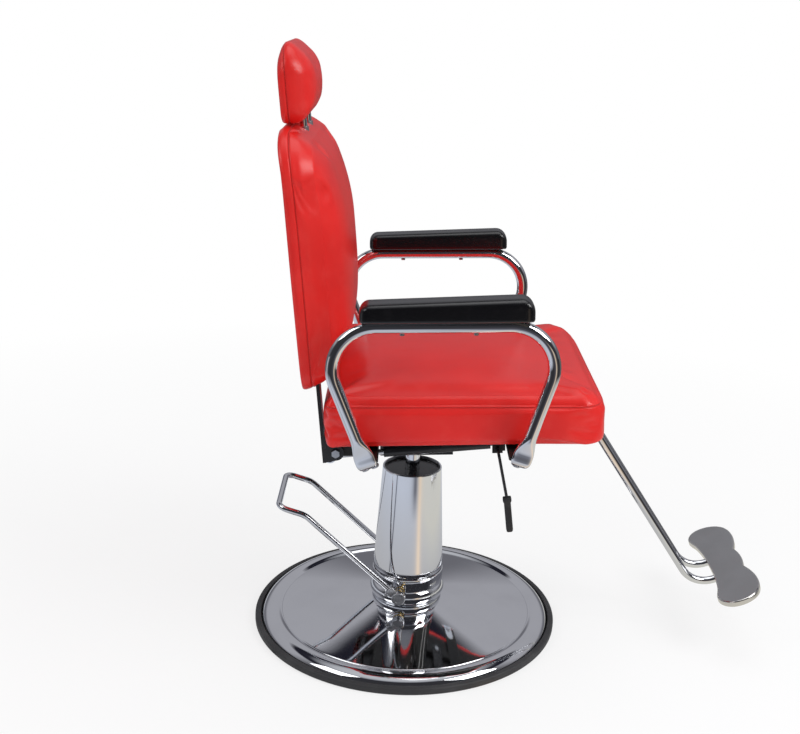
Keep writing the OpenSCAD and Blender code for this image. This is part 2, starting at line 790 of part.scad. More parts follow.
// Retreat of the upper front, which leans back over the seat's last stretch
function front_lean(s, z) = 0.3 * max(0, z - seat_low - 54) * pow(max(0, s / seat_front - 0.7) / 0.3, 2);
function seat_ring(inset, share, z_of) = [
    for (p = outline(seat_half_w - inset, seat_half_l - inset,
        max(8, seat_rear_corner - inset), max(8, seat_front_corner - inset), 5, 4))
    let (x = p[0] * share, s = seat_mid_s - p[1] * share, z = z_of(x, s))
    [x, front_lean(s, z) - s, z]];
module seat_cushion() {
    body = [for (v = seat_levels) v[2] < 0
        ? seat_ring(v[0], v[1], function (x, s) v[2] < -1.5 ? seat_low
            : seat_low + (seam_z(s) - 2 - seat_low) * v[3])
        : seat_ring(v[0], v[1], function (x, s) seam_z(s) + v[2])];
    cap = [for (f = [0.94, 0.86, 0.72, 0.54, 0.36, 0.18]) seat_ring(cap_inset, f, function (x, s)
        seam_z(s) + seat_edge + (seat_crown - seat_edge) * pillow(x / (seat_half_w - cap_inset),
            (s - seat_mid_s) / (seat_half_l - cap_inset), 2.8))];
    color("#dc2b26") seat_place() difference() {
        ring_solid(concat(body, cap));
        translate([0, 0, seat_low - 1]) linear_extrude(seat_board_t + seat_skirt + 1)
            seat_board_outline(0);
        block(-hinge_room, hinge_room, -seat_rear - 1, 60 - seat_rear, seat_low - 1, seat_bottom);
    }
}

// ---------------------------------------------------------------- arms

// Flattened end of an armrest tube: taper, quarter bend and inward strap
module arm_end(side, s, lean, count) {
    flat_from = side > 0 ? -strap_in : strap_bend - lap;
    translate([side * arm_x, -s, strap_z]) rotate([-lean, 0, 0]) {
        hull() {
            translate([0, 0, (leg_flat_z - strap_z) / cos(lean)])
                cylinder(r = arm_r + 0.2, h = 1, $fn = 32);
            translate([-strap_t / 2 - step, -strap_w / 2 - step, -lap])
                cube([strap_t + 2 * step, strap_w + 2 * step, 1]);
        }
        difference() {
            union() {
                translate([-side * strap_bend, strap_w / 2, 0]) rotate([90, 0, 0])
                    linear_extrude(strap_w) intersection() {
                        difference() {
                            circle(r = strap_bend + strap_t / 2);
                            circle(r = strap_bend - strap_t / 2);
                        }
                        translate([side > 0 ? 0 : -100, -100]) square(100);
                    }
                translate([flat_from, -strap_w / 2 - step, -strap_bend - strap_t / 2 - step])
                    cube([strap_in - strap_bend + lap, strap_w + 2 * step, strap_t + 2 * step]);
            }
            for (k = [0:count - 1]) translate([side * (arm_bolt_x - arm_x),
                (k - (count - 1) / 2) * arm_bolt_gap, -strap_bend - 10])
                cylinder(r = arm_bolt_r, h = 20);
        }
    }
}

module arm_tube(side) {
    x = side * arm_x;
    rear = leg_s(arm_rear_s, -arm_lean, leg_flat_z);
    front = leg_s(arm_front_s, arm_lean, leg_flat_z);
    rear_top = leg_s(arm_rear_s, -arm_lean, arm_top);
    front_top = leg_s(arm_front_s, arm_lean, arm_top);
    path = [[x, -rear, leg_flat_z], [x, -rear_top, arm_top], [x, -front_top, arm_top],
        [x, -front, leg_flat_z]];
    bends = [0, arm_bend, arm_bend, 0];
    difference() {
        bent_bar(path, bends, arm_r);
        bent_bar(path, bends, arm_r - arm_wall);
        for (s = pad_screw_s) translate([x, -s, arm_top - 30]) cylinder(r = 2.5, h = 60);
    }
    arm_end(side, leg_s(arm_rear_s, -arm_lean, strap_z), arm_lean, 2);
    arm_end(side, leg_s(arm_front_s, arm_lean, strap_z), -arm_lean, 1);
}
pad_screw_s = [pad_rear + 67, pad_front - 93];

module arm_tube_left() {
    color("#d0d4d9") seat_place() arm_tube(1);
}
module arm_tube_right() {
    color("#d0d4d9") seat_place() arm_tube(-1);
}

module arm_bolt() {
    translate([0, 0, -5]) hex_head(13, 5);
    cylinder(r = arm_bolt_r, h = strap_t + bar_t + 6);
}
module arm_bolts() {
    color("#c2c5ca") seat_place() for (side = [-1, 1]) {
        arm_bolt_place(leg_s(arm_rear_s, -arm_lean, strap_z), arm_lean, side, 2) arm_bolt();
        arm_bolt_place(leg_s(arm_front_s, arm_lean, strap_z), -arm_lean, side, 1) arm_bolt();
    }
}

// Side view of an arm pad: flat underside, rounded ends
pad_low = arm_top + straight(arm_r);
pad_mid_s = (pad_rear + pad_front) / 2;
// Side view of a pad, drawn level about its middle, with its rounded upper corners
module pad_profile() {
    rear_r = 16;
    front_r = 22;
    half = (pad_front - pad_rear) / 2;
    polygon([[half, -20], [half, pad_h - rear_r], [half - rear_r, pad_h],
        [front_r - half, pad_h], [-half, pad_h - front_r], [-half, -20]]);
    translate([half - rear_r, pad_h - rear_r]) circle(r = rear_r);
    translate([front_r - half, pad_h - front_r]) circle(r = front_r);
}
// Section of a pad across its length, with its rounded upper edges
module pad_section() {
    edge = 12;
    for (k = [-1, 1]) translate([k * (pad_w / 2 - edge), pad_h - edge]) circle(r = edge);
    polygon([[-pad_w / 2, -20], [pad_w / 2, -20], [pad_w / 2, pad_h - edge],
        [pad_w / 2 - edge, pad_h], [edge - pad_w / 2, pad_h], [-pad_w / 2, pad_h - edge]]);
}
// Its underside is level, with a chamfer round it
module arm_pad(side) {
    x = side * arm_x;
    chamfer = 3;
    wide = pad_w / 2 - chamfer;
    difference() {
        intersection() {
            translate([x, -pad_mid_s, pad_low]) rotate([-pad_slope, 0, 0]) intersection() {
                translate([-pad_w, 0, 0]) rotate([90, 0, 90]) linear_extrude(2 * pad_w)
                    pad_profile();
                translate([0, 250, 0]) rotate([90, 0, 0]) linear_extrude(500) pad_section();
            }
            translate([x, 200, pad_low]) rotate([90, 0, 0]) linear_extrude(500)
                polygon([[-wide, 0], [wide, 0], [wide + 70, 70], [-wide - 70, 70]]);
            translate([x - pad_w, 0, pad_low]) rotate([90, 0, 90]) linear_extrude(2 * pad_w)
                polygon([[-pad_rear - chamfer, 0], [-pad_rear + 70 - chamfer, 70],
                    [-pad_front - 70 + chamfer, 70], [-pad_front + chamfer, 0]]);
        }
        for (s = pad_screw_s) translate([x, -s, pad_low - 1]) cylinder(r = 2.5, h = 16);
    }
}
module arm_pad_left() {
    color("#161617") seat_place() arm_pad(1);
}
module arm_pad_right() {
    color("#161617") seat_place() arm_pad(-1);
}

module pad_screws() {
    color("#9b9ea3") seat_place() for (side = [-1, 1]) for (s = pad_screw_s)
        translate([side * arm_x, -s, arm_top - arm_r]) {
            cylinder(r = 2.5, h = 2 * arm_r + 14);
            translate([0, 0, -3]) cylinder(r = 4, h = 3 + step / 2);
        }
}

// ---------------------------------------------------------------- footrest

foot_drop = foot_run_z + foot_low_z;
foot_low_s = foot_turn_s + foot_drop / tan(foot_slope);
plate_at = 68;               // from the tubes' lower corner to the footplate's reference line
plate_low = -0.5;            // underside of the footplate against the tubes' axis
foot_bolt_at = [plate_at - 8, plate_at + 16];
clamp_s = 116;
clamp_t = 6;

// Places its children in the frame of the tubes' last stretch: origin at the lower corner,
// -y forward along the tubes
module foot_place() {
    seat_place() translate([0, -foot_low_s, -foot_low_z]) rotate([-foot_rise, 0, 0]) children();
}

module footrest_tubes() {
    foot_end = plate_at + 30;
    color("#cdd1d6") difference() {
        seat_place() for (x = [-foot_x, foot_x]) bent_bar([[x, -30, foot_run_z],
            [x, -foot_turn_s, foot_run_z], [x, -foot_low_s, -foot_low_z],
            [x, -foot_low_s - foot_end * cos(foot_rise), -foot_low_z + foot_end * sin(foot_rise)]],
            [0, foot_bend, foot_bend, 0], foot_r);
        foot_place() for (x = [-foot_x, foot_x]) for (v = foot_bolt_at) translate([x, -v, -20])
            cylinder(r = 3, h = 60);
        seat_place() for (x = [-foot_x, foot_x]) translate([x, -clamp_s, 0])
            cylinder(r = 3, h = 60);
    }
}

module footrest_clamp() {
    tube_top = foot_run_z + straight(foot_r);
    half = rail_x + rail_w / 2;
    color("#26272a") seat_place() difference() {
        union() {
            block(-half, half, clamp_s - 14, clamp_s + 14, rail_z - clamp_t, rail_z);
            for (side = [-1, 1]) block(side * foot_x - 10, side * foot_x + 10, clamp_s - 14,
                clamp_s + 14, tube_top, rail_z - clamp_t + eps);
        }
        for (x = [-foot_x, foot_x]) translate([x, -clamp_s, 0]) cylinder(r = 3, h = 60);
        for (x = [-rail_x, rail_x]) translate([x, -clamp_s, 0]) cylinder(r = 3, h = 60);
    }
}

// Butterfly outline, forward along -y: round ends, a concave rear waist, and a front edge of
// two wide lobes with a shallow one between them
module plate_outline() {
    rear = 0.425 * plate_d;
    front = plate_d - rear;
    lobe_r = 0.483 * plate_d;
    front_r = 1.264 * plate_d;
    middle_r = 1.586 * plate_d;
    waist_r = 4.6 * plate_d;
    end_x = plate_half_w - lobe_r;
    end_v = lobe_r - rear;
    front_v = front - front_r;
    front_dx = sqrt(pow(front_r - lobe_r, 2) - pow(end_v - front_v, 2));
    difference() {
        union() {
            intersection() {
                union() {
                    for (side = [-1, 1]) translate([side * (end_x - front_dx), -front_v + 0.5])
                        circle(r = front_r);
                    translate([0, middle_r - 0.865 * front]) circle(r = middle_r);
                }
                translate([-end_x - 12, -front - 1]) square([2 * end_x + 24, front + 1]);
            }
            for (side = [-1, 1]) translate([side * end_x, -end_v]) circle(r = lobe_r);
            translate([-end_x, -1]) square([2 * end_x, rear + 1]);
        }
        translate([0, 0.6 * rear + waist_r]) circle(r = waist_r);
    }
}

module footrest_plate() {
    color("#8a8b8d") foot_place() difference() {
        translate([0, -plate_at, plate_low]) linear_extrude(plate_h) plate_outline();
        for (x = [-foot_x, foot_x]) {
            translate([x, 0, 0]) rotate([90, 0, 0])
                cylinder(r = straight(foot_r), h = plate_at + 30);
            for (v = foot_bolt_at) translate([x, -v, 0]) cylinder(r = 3, h = plate_h - 2);
        }
    }
}

module footrest_bolts() {
    color("#8f9297") {
        foot_place() for (x = [-foot_x, foot_x]) for (v = foot_bolt_at)
            translate([x, -v, -foot_r]) {
                cylinder(r = 3, h = foot_r + plate_h - 2);
                translate([0, 0, -4]) hex_head(10, 4 + step / 2);
            }
        seat_place() for (x = [-foot_x, foot_x]) translate([x, -clamp_s, foot_run_z - foot_r]) {
            cylinder(r = 3, h = rail_z + 4 - foot_run_z + foot_r);
            translate([0, 0, -4]) hex_head(10, 4 + step / 2);
            translate([0, 0, rail_z - foot_run_z + foot_r]) hex_head(10, 4);
        }
        seat_place() for (x = [-rail_x, rail_x]) translate([x, -clamp_s, rail_z - clamp_t]) {
            cylinder(r = 3, h = clamp_t + 8);
            translate([0, 0, -4]) hex_head(10, 4 + eps);
        }
    }
}

// ---------------------------------------------------------------- gas spring and release

spring_dz = spring_front_z - hinge_z - crank_drop;
spring_ds = spring_front_s - hinge_s - crank_s;
spring_angle = atan2(spring_dz, spring_ds);
spring_len = norm([spring_dz, spring_ds]);
gas_share = 0.63;   // length of the gas cylinder, and of its rod, against the whole

// Local frame of the gas spring: origin at the crank pin, y backward along its axis
module spring_place() {
    seat_place() translate([crank_x, -(hinge_s + crank_s), hinge_z + crank_drop])
        rotate([-spring_angle, 0, 0]) children();
}

module spring_pin() {
    color("#a2a5aa") seat_place() bar_x(crank_pin_r, crank_x - 19, crank_x + 19, spring_front_s,
        spring_front_z);
}

module gas_cylinder() {
    body = gas_share * spring_len;
    color("#c9ccd1") spring_place() difference() {
        union() {
            translate([0, -spring_len, 0]) rod_x(9, 12);
            translate([0, -spring_len + 7, 0]) rotate([-90, 0, 0]) cylinder(r = 5, h = 14);
            translate([0, -spring_len + 16, 0]) rotate([-90, 0, 0]) cylinder(r = gas_r, h = body);
        }
        translate([0, -spring_len, 0]) rod_x(crank_pin_r + running, 20);
        translate([0, -spring_len + 30, 0]) rotate([-90, 0, 0])
            cylinder(r = gas_rod_r + running, h = body);
    }
}

module gas_rod() {
    color("#e2e4e8") spring_place() difference() {
        union() {
            rod_x(crank_pin_r + eye_play + 4, crank_gap - 2);
            rotate([90, 0, 0]) translate([0, 0, crank_pin_r + eye_play + 2])
                cylinder(r = gas_rod_r, h = gas_share * spring_len);
        }
        rod_x(crank_pin_r + eye_play, 20);
    }
}

module release_shaft() {
    outer = release_x + release_bend + 1;
    color("#26272a") seat_place() difference() {
        union() {
            bar_x(release_r, outer, crank_x - 8, release_s, release_z);
            bar_x(release_r + 3, crank_x - 11, crank_x - 8, release_s, release_z);
        }
        bar_x(straight(release_wire_r), outer - 1, release_x + 29, release_s, release_z);
    }
}

module release_rod() {
    inner = [release_x + 28, -release_s, release_z];
    corner = [release_x, -release_s, release_z];
    tip = [release_x, -release_tip_s, release_tip_z];
    color("#1a1a1c") seat_place() bent_bar([inner, corner, tip], [0, release_bend, 0],
        release_wire_r);
}

module release_grip() {
    color("#101011") seat_place() translate([release_x, -release_tip_s, release_tip_z])
        rotate([5 - release_slope, 0, 0]) difference() {
            union() {
                translate([-3.5, -6, -56]) cube([7, 12, 56]);
                translate([0, 0, -56]) rod_x(6, 7);
                translate([-4.5, -7.5, -4]) cube([9, 15, 9]);
            }
            rotate([-5, 0, 0]) translate([0, 0, -eps])
                cylinder(r = straight(release_wire_r), h = 20);
        }
}

// ---------------------------------------------------------------- back

module torque_tube() {
    pin = [hinge_s + crank_s, hinge_z + crank_drop];
    color("#2a2b2e") seat_place() difference() {
        union() {
            bar_x(tube_r, -hinge_plate_x + 1, hinge_plate_x - 1, hinge_s, hinge_z);
            for (side = [-1, 1]) translate([crank_x + side * (crank_gap / 2 + crank_t / 2), 0, 0]) {
                x = -crank_t / 2;
                translate([x, 0, 0]) rotate([90, 0, 90]) linear_extrude(crank_t) {
                    translate([-hinge_s, hinge_z]) circle(r = tube_r + 3);
                    translate([-pin[0], pin[1]]) circle(r = 8);
                    polygon([[-hinge_s - tube_r, hinge_z], [-hinge_s + tube_r, hinge_z],
                        [-pin[0] + 8, pin[1]], [-pin[0] - 8, pin[1]]]);
                }
            }
            bar_x(crank_pin_r, crank_x - crank_gap / 2 - eps, crank_x + crank_gap / 2 + eps, pin[0],
                pin[1]);
        }
        for (side = [-1, 1]) translate([side * hinge_plate_x, -hinge_s, hinge_z])
            rod_x(hinge_pin_r, 60);
    }
}

module hinge_pins() {
    color("#c6c9ce") seat_place() for (side = [-1, 1]) {
        bar_x(hinge_pin_r, side * (hinge_plate_x - 30), side * (bracket_x + 2), hinge_s, hinge_z);
        translate([side * bracket_x, -hinge_s, hinge_z]) rotate([0, side * 90, 0]) hex_head(13, 6);
    }
}

// One bracket: flat bar up the back, with an ear at its foot for the hinge
module back_bracket(side) {
    outer = side * bracket_x;
    inner = side * (bracket_x - bracket_w);
    ear = side * (bracket_x - 5);
    difference() {
        union() {
            back_place() block(min(inner, outer), max(inner, outer), bracket_front - bracket_t,
                bracket_front, -128, bracket_top);
            seat_place() translate([min(outer, ear), 0, 0]) rotate([90, 0, 90]) linear_extrude(5) {
                translate([-hinge_s, hinge_z]) circle(r = 14);
                polygon([[-hinge_s + 22, 4], [-hinge_s, hinge_z - 14], [-hinge_s, hinge_z + 14],
                    [-hinge_s + 22, 56]]);
            }
        }
        seat_place() translate([outer, -hinge_s, hinge_z]) rod_x(hinge_pin_r, 40);
        back_place() for (w = bracket_bolt_w) translate([outer - side * bracket_w / 2, 0, w])
            rotate([90, 0, 0]) cylinder(r = 3, h = 40, center = true);
    }
}
bracket_bolt_w = [50, 130];

module back_brackets() {
    color("#151517") for (side = [-1, 1]) back_bracket(side);
}

module bracket_bolts() {
    color("#85888d") back_place() for (side = [-1, 1]) for (w = bracket_bolt_w)
        translate([side * (bracket_x - bracket_w / 2), bracket_t - bracket_front, w])
            rotate([90, 0, 0]) {
                cylinder(r = 3, h = bracket_t + back_board_t);
                translate([0, 0, -4]) hex_head(10, 4 + eps);
            }
}

// Outline of the back in its own plane: half width w, from height low to high, corners c
module back_outline(w, low, high, c0, c1) {
    for (x = [-1, 1]) {
        translate([x * (w - c0), low + c0]) circle(r = c0);
        translate([x * (w - c1), high - c1]) circle(r = c1);
    }
    polygon([[-w, low + c0], [-w + c0, low], [w - c0, low], [w, low + c0], [w, high - c1],
        [w - c1, high], [-w + c1, high], [-w, high - c1]]);
}

// Slab of the back's outline between forward depths f0 and f1
module back_slab(w, low, high, c0, c1, f0, f1) {
    translate([0, -f0, 0]) rotate([90, 0, 0]) linear_extrude(f1 - f0)
        back_outline(w, low, high, c0, c1);
}
pocket_w = back_half_w - 14;
pocket_low = 16;
pocket_high = back_h - 16;
board_high = back_h - 46;
board_front = bracket_front + back_board_t;

module back_board() {
    color("#b08552") back_place() difference() {
        back_slab(pocket_w - 0.5, pocket_low + 0.5, board_high - 0.5, 20, back_corner - 14,
            bracket_front, board_front);
        for (side = [-1, 1]) {
            translate([side * post_x - sleeve_r - loose, -30, sleeve_low - 12])
                cube([2 * (sleeve_r + loose), 60, 200]);
            for (w = bracket_bolt_w) translate([side * (bracket_x - bracket_w / 2), 0, w])
                rotate([90, 0, 0]) cylinder(r = 3, h = 60, center = true);
        }
    }
}

module back_panel() {
    color("#c92824") back_place() back_slab(pocket_w - 0.5, pocket_low + 0.5, pocket_high - 0.5, 20,
        back_corner - 14, -back_rear, -back_rear + back_panel_t);
}

module headrest_sleeves() {
    color("#9fa2a7") back_place() difference() {
        union() {
            for (side = [-1, 1]) translate([side * post_x, 0, sleeve_low])
                cylinder(r = sleeve_r, h = sleeve_top - sleeve_low);
            translate([-post_x - 24, -bracket_front, sleeve_low - 4])
                cube([2 * post_x + 48, 3, 50]);
        }
        for (side = [-1, 1]) translate([side * post_x, 0, sleeve_low - 10])
            cylinder(r = post_r + running, h = 200);
    }
}

// Back cushion: [inset, share of the outline, forward depth as a share of its depth]
back_levels = [[6, 0.9, 0], [6, 1, 0], [2, 1, 0.02], [0, 1, 0.08], [0, 1, 0.19], [1.6, 1, 0.235],
    [0.8, 1, 0.27], [1.5, 1, 0.36], [6, 1, 0.5], [14, 1, 0.62]];
// Bulge of the front over the height: full low down, falling towards the top
function back_fall(w) = w < 0.6 * back_h ? 1 : 1 - 0.2 * pow((w / back_h - 0.6) / 0.4, 1.6);
function back_under(w) = w > 0.2 * back_h ? 0 : 22 * pow(1 - w / (0.2 * back_h), 1.8);
// Drop of the top towards the front
function back_over(w) = 20 * pow(max(0, w / back_h - 0.84) / 0.16, 1.5);
back_edge = 0.62;   // share of the depth where the front's crown begins
back_inset = 14;
function back_ring(inset, share, flat) = [
    for (p = outline(back_half_w - inset, back_h / 2 - inset, max(20, back_corner - inset),
        max(12, 34 - inset), 5, 4))
    let (x = p[0] * share, v = p[1] * share, w = back_h / 2 + v,
        depth = flat <= back_edge ? flat : back_edge + (1 - back_edge)
            * pillow(x / (back_half_w - back_inset), v / (back_h / 2 - back_inset), 3),
        f = -back_rear + (back_front + back_rear) * depth * back_fall(w))
    [x, -f, w + back_under(w) * depth - back_over(w) * depth * depth]];
module back_cushion() {
    body = [for (v = back_levels) back_ring(v[0], v[1], v[2])];
    cap = [for (f = [0.94, 0.86, 0.72, 0.54, 0.36, 0.18]) back_ring(back_inset, f, 1)];
    color("#df2d28") back_place() difference() {
        ring_solid(concat(body, cap));
        back_slab(pocket_w, pocket_low, pocket_high, 20, back_corner - 14, -back_rear - 5,
            -back_rear + back_panel_t);
        back_slab(pocket_w, pocket_low, board_high, 20, back_corner - 14,
            -back_rear + back_panel_t - 1, board_front + 0.3);
        for (side = [-1, 1]) {
            translate([side * post_x, 0, sleeve_low]) cylinder(r = sleeve_r, h = 200);
            translate([side * (bracket_x - bracket_w / 2) - bracket_w / 2 - 1, -bracket_front - 1,
                -40]) cube([bracket_w + 2, bracket_t + 2, 80]);
        }
    }
}

// ---------------------------------------------------------------- headrest

module headrest_posts() {
    color("#dfe2e6") back_place() for (side = [-1, 1]) translate([side * post_x, 0, sleeve_low + 2])
        cylinder(r = post_r, h = head_low + head_h - 40 - sleeve_low - 2);
}

module headrest_board() {
    color("#b08552") back_place() translate([-head_half_w + 26, post_r, head_low + 26])
        cube([2 * head_half_w - 52, head_board_t, head_h - 52]);
}

// Headrest cushion: [inset, share, forward depth as a share of the full depth]
head_levels = [[9, 0.8, 0], [9, 1, 0.02], [3, 1, 0.09], [0.5, 1, 0.18], [0, 1, 0.26],
    [1.4, 1, 0.31], [0.8, 1, 0.35], [2.5, 1, 0.48], [8, 1, 0.64], [16, 1, 0.76]];
head_edge = 0.76;   // share of the depth where the front's crown begins
head_inset = 16;
function head_ring(inset, share, flat) = [
    for (p = outline(head_half_w - inset, head_h / 2 - inset, max(14, 50 - inset),
        max(10, 26 - inset), 5, 3))
    let (x = p[0] * share, v = p[1] * share, w = head_h / 2 + v,
        depth = flat <= head_edge ? flat : head_edge + (1 - head_edge)
            * pillow(x / (head_half_w - head_inset), v / (head_h / 2 - head_inset), 2.4),
        drop = 1 - 0.16 * pow(max(0, w / head_h - 0.5) / 0.45, 1.6),
        slant = 16 * pow(max(0, 1 - depth / 0.26), 1.5) * pow(max(0, 2 * v / head_h), 3))
    [x, head_rear - (head_rear + head_front) * depth * drop, head_low + w - slant]];
module headrest_cushion() {
    body = [for (v = head_levels) head_ring(v[0], v[1], v[2])];
    cap = [for (f = [0.9, 0.74, 0.5, 0.25]) head_ring(head_inset, f, 1)];
    color("#df2d28") back_place() difference() {
        ring_solid(concat(body, cap));
        translate([-head_half_w + 26, post_r, head_low + 26])
            cube([2 * head_half_w - 52, head_board_t, head_h - 52]);
        for (side = [-1, 1]) translate([side * post_x, 0, head_low - 10])
            cylinder(r = post_r, h = head_h - 30);
    }
}

base_ring();
base_plate();
base_cover();
pump_housing();
housing_bolts();
shaft_bushes();
pump_cylinder();
gland_nut();
rod_seal();
pump_collar();
pump_shroud();
shroud_cap();
pedal_spring();
pump_plunger();
pedal_shaft();
pump_cam();
pedal_clamps();
pedal_screws();
pedal_bar();
piston_head();
piston_seal();
piston_rod();
seat_mount();
mount_bolts();
seat_frame();
seat_board();
seat_cushion();
arm_tube_left();
arm_tube_right();
arm_bolts();
arm_pad_left();
arm_pad_right();
pad_screws();
footrest_tubes();
footrest_clamp();
footrest_plate();
footrest_bolts();
spring_pin();
gas_cylinder();
gas_rod();
release_shaft();
release_rod();
release_grip();
torque_tube();
hinge_pins();
back_brackets();
back_board();
back_panel();
bracket_bolts();
headrest_sleeves();
back_cushion();
headrest_posts();
headrest_board();
headrest_cushion();
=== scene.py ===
"""Upholstery, chrome, trim and stage of a hydraulic reclining salon chair, around its frame.

Sizes in the code are in millimetres and become metres when a mesh is made. The sitter faces -y,
and a distance written s is forward, s = -y. The seat, the back and the footplate each have a
leaning frame of their own."""

import bmesh
import bpy
import numpy as np
from bpy.props import FloatProperty, FloatVectorProperty, PointerProperty
from mathutils import Matrix


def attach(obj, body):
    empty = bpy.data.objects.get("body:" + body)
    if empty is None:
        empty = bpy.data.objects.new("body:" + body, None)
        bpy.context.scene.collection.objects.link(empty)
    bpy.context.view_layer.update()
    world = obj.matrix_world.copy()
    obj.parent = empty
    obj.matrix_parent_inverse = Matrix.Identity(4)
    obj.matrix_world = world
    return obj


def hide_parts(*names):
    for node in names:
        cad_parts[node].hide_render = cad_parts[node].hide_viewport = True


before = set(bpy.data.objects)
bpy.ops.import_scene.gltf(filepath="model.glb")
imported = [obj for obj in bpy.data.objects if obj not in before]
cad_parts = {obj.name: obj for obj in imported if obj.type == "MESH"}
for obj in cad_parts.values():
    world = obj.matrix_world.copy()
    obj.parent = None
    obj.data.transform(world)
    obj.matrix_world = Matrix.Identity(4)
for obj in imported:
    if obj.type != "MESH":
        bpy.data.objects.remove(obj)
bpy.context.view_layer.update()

bl_info = {
    "name": "Salon Chair Dresser",
    "version": (1, 0, 0),
    "blender": (4, 5, 0),
    "location": "View3D > Sidebar > Salon Chair",
    "description": "Makes the cushions, chrome, trim and stage of a hydraulic salon chair",
    "category": "Object",
}

# Leaning frames: degrees and origins in millimetres
SEAT_TILT, SEAT_Z = 3.0, 400.0
BACK_LEAN, BACK_S, BACK_Z = 3.0, -160.0, 132.0
FOOT_RISE, FOOT_S, FOOT_Z = 18.0, 544.2, -334.0


# ---------------------------------------------------------------- places

def turned(points, degrees):
    """Points turned about the X axis: y' = y cos a - z sin a, z' = y sin a + z cos a."""
    a = np.radians(degrees)
    x, y, z = np.moveaxis(np.asarray(points, float), -1, 0)
    return np.stack([x, y * np.cos(a) - z * np.sin(a), y * np.sin(a) + z * np.cos(a)], -1)


def on_seat(points):
    """The seat's frame: leaning back about a reference line over the pump."""
    return turned(points, -SEAT_TILT) + [0, 0, SEAT_Z]


def on_back(points):
    """The back's frame: z runs up the back, -y forward."""
    return on_seat(turned(points, -BACK_LEAN) + [0, -BACK_S, BACK_Z])


def on_footrest(points):
    """The frame of the footrest tubes' last stretch, rising to the front."""
    return on_seat(turned(points, -FOOT_RISE) + [0, -FOOT_S, FOOT_Z])


# ---------------------------------------------------------------- curves and grids

def unit(v):
    """Vectors of length one along the last axis."""
    return v / np.maximum(np.linalg.norm(v, axis=-1, keepdims=True), 1e-12)


def spline(knots, count, closed=False):
    """Curve through knots, count points a span: cubic Hermite, its slope at a knot being half
    the step from the knot before to the knot after."""
    k = np.asarray(knots, float)
    before, after = np.roll(k, 1, 0), np.roll(k, -1, 0)
    if not closed:
        before[0], after[-1] = 2 * k[0] - k[1], 2 * k[-1] - k[-2]
    slope = (after - before) / 2
    a, b, p, q = k, np.roll(k, -1, 0), slope, np.roll(slope, -1, 0)
    if not closed:
        a, b, p, q = a[:-1], b[:-1], p[:-1], q[:-1]
    t = np.linspace(0, 1, count, endpoint=False)[None, :, None]
    curve = (a[:, None] * (2 * t**3 - 3 * t**2 + 1) + p[:, None] * (t**3 - 2 * t**2 + t)
             + b[:, None] * (3 * t**2 - 2 * t**3) + q[:, None] * (t**3 - t**2))
    curve = curve.reshape(-1, k.shape[1])
    return curve if closed else np.vstack([curve, k[-1:]])


def rounded(corners, radii, steps=8, closed=False):
    """Line through corners, each turned into an arc of its radius: the arc starts r tan(w/2)
    before the corner, w being the turn, and runs round a centre r to the side."""
    p = np.asarray(corners, float)
    n = len(p)
    pieces = []
    for i, r in enumerate(radii):
        if r == 0 or (not closed and i in (0, n - 1)):
            pieces.append(p[i:i + 1])
            continue
        d, q = unit(p[i] - p[i - 1]), unit(p[(i + 1) % n] - p[i])
        w = np.arccos(np.clip(d @ q, -1, 1))
        side = unit(q - d * (d @ q))
        a = np.linspace(0, w, steps + 1)[:, None]
        start = p[i] - d * r * np.tan(w / 2)
        pieces.append(start + side * r * (1 - np.cos(a)) + d * r * np.sin(a))
    return np.vstack(pieces)


def run_of(curve):
    """Length run from a line's start to each of its points."""
    return np.concatenate([[0], np.cumsum(np.linalg.norm(np.diff(curve, axis=0), axis=1))])


def read_at(curve, run, at):
    """Points of a line at the lengths `at`: each coordinate read off against the length run."""
    return np.stack([np.interp(at, run, c) for c in curve.T], 1)


def resampled(curve, gap):
    """Points along a line about gap apart."""
    run = run_of(curve)
    return read_at(curve, run, np.linspace(0, run[-1], max(2, int(round(run[-1] / gap)) + 1)))


def grid_faces(rows, columns, closed_rows=False, closed_columns=True):
    """Quads of a grid of points, row by row; a closed way joins its last line to its first."""
    i = np.arange(rows if closed_rows else rows - 1)[:, None]
    j = np.arange(columns if closed_columns else columns - 1)[None, :]
    k, m = (i + 1) % rows, (j + 1) % columns
    return np.stack(np.broadcast_arrays(i * columns + j, i * columns + m, k * columns + m,
                                        k * columns + j), -1).reshape(-1, 4)


def lathe(profile, around=160, closed=True):
    """Surface of revolution about Z: the point (r, z) of the profile goes to
    (r cos a, r sin a, z)."""
    a = np.linspace(0, 2 * np.pi, around, endpoint=False)
    r, z = np.asarray(profile, float).T
    points = np.stack([r[:, None] * np.cos(a), r[:, None] * np.sin(a),
                       np.broadcast_to(z[:, None], (len(r), around))], -1)
    return points.reshape(-1, 3), grid_faces(len(r), around, closed_rows=closed)


def shell(curve, wall):
    """Closed profile of a sheet: the outer line, then the same line moved in by the wall."""
    c = np.asarray(curve, float)
    d = unit(np.gradient(c, axis=0))
    return np.vstack([c, (c + wall * np.stack([d[:, 1], -d[:, 0]], 1))[::-1]])


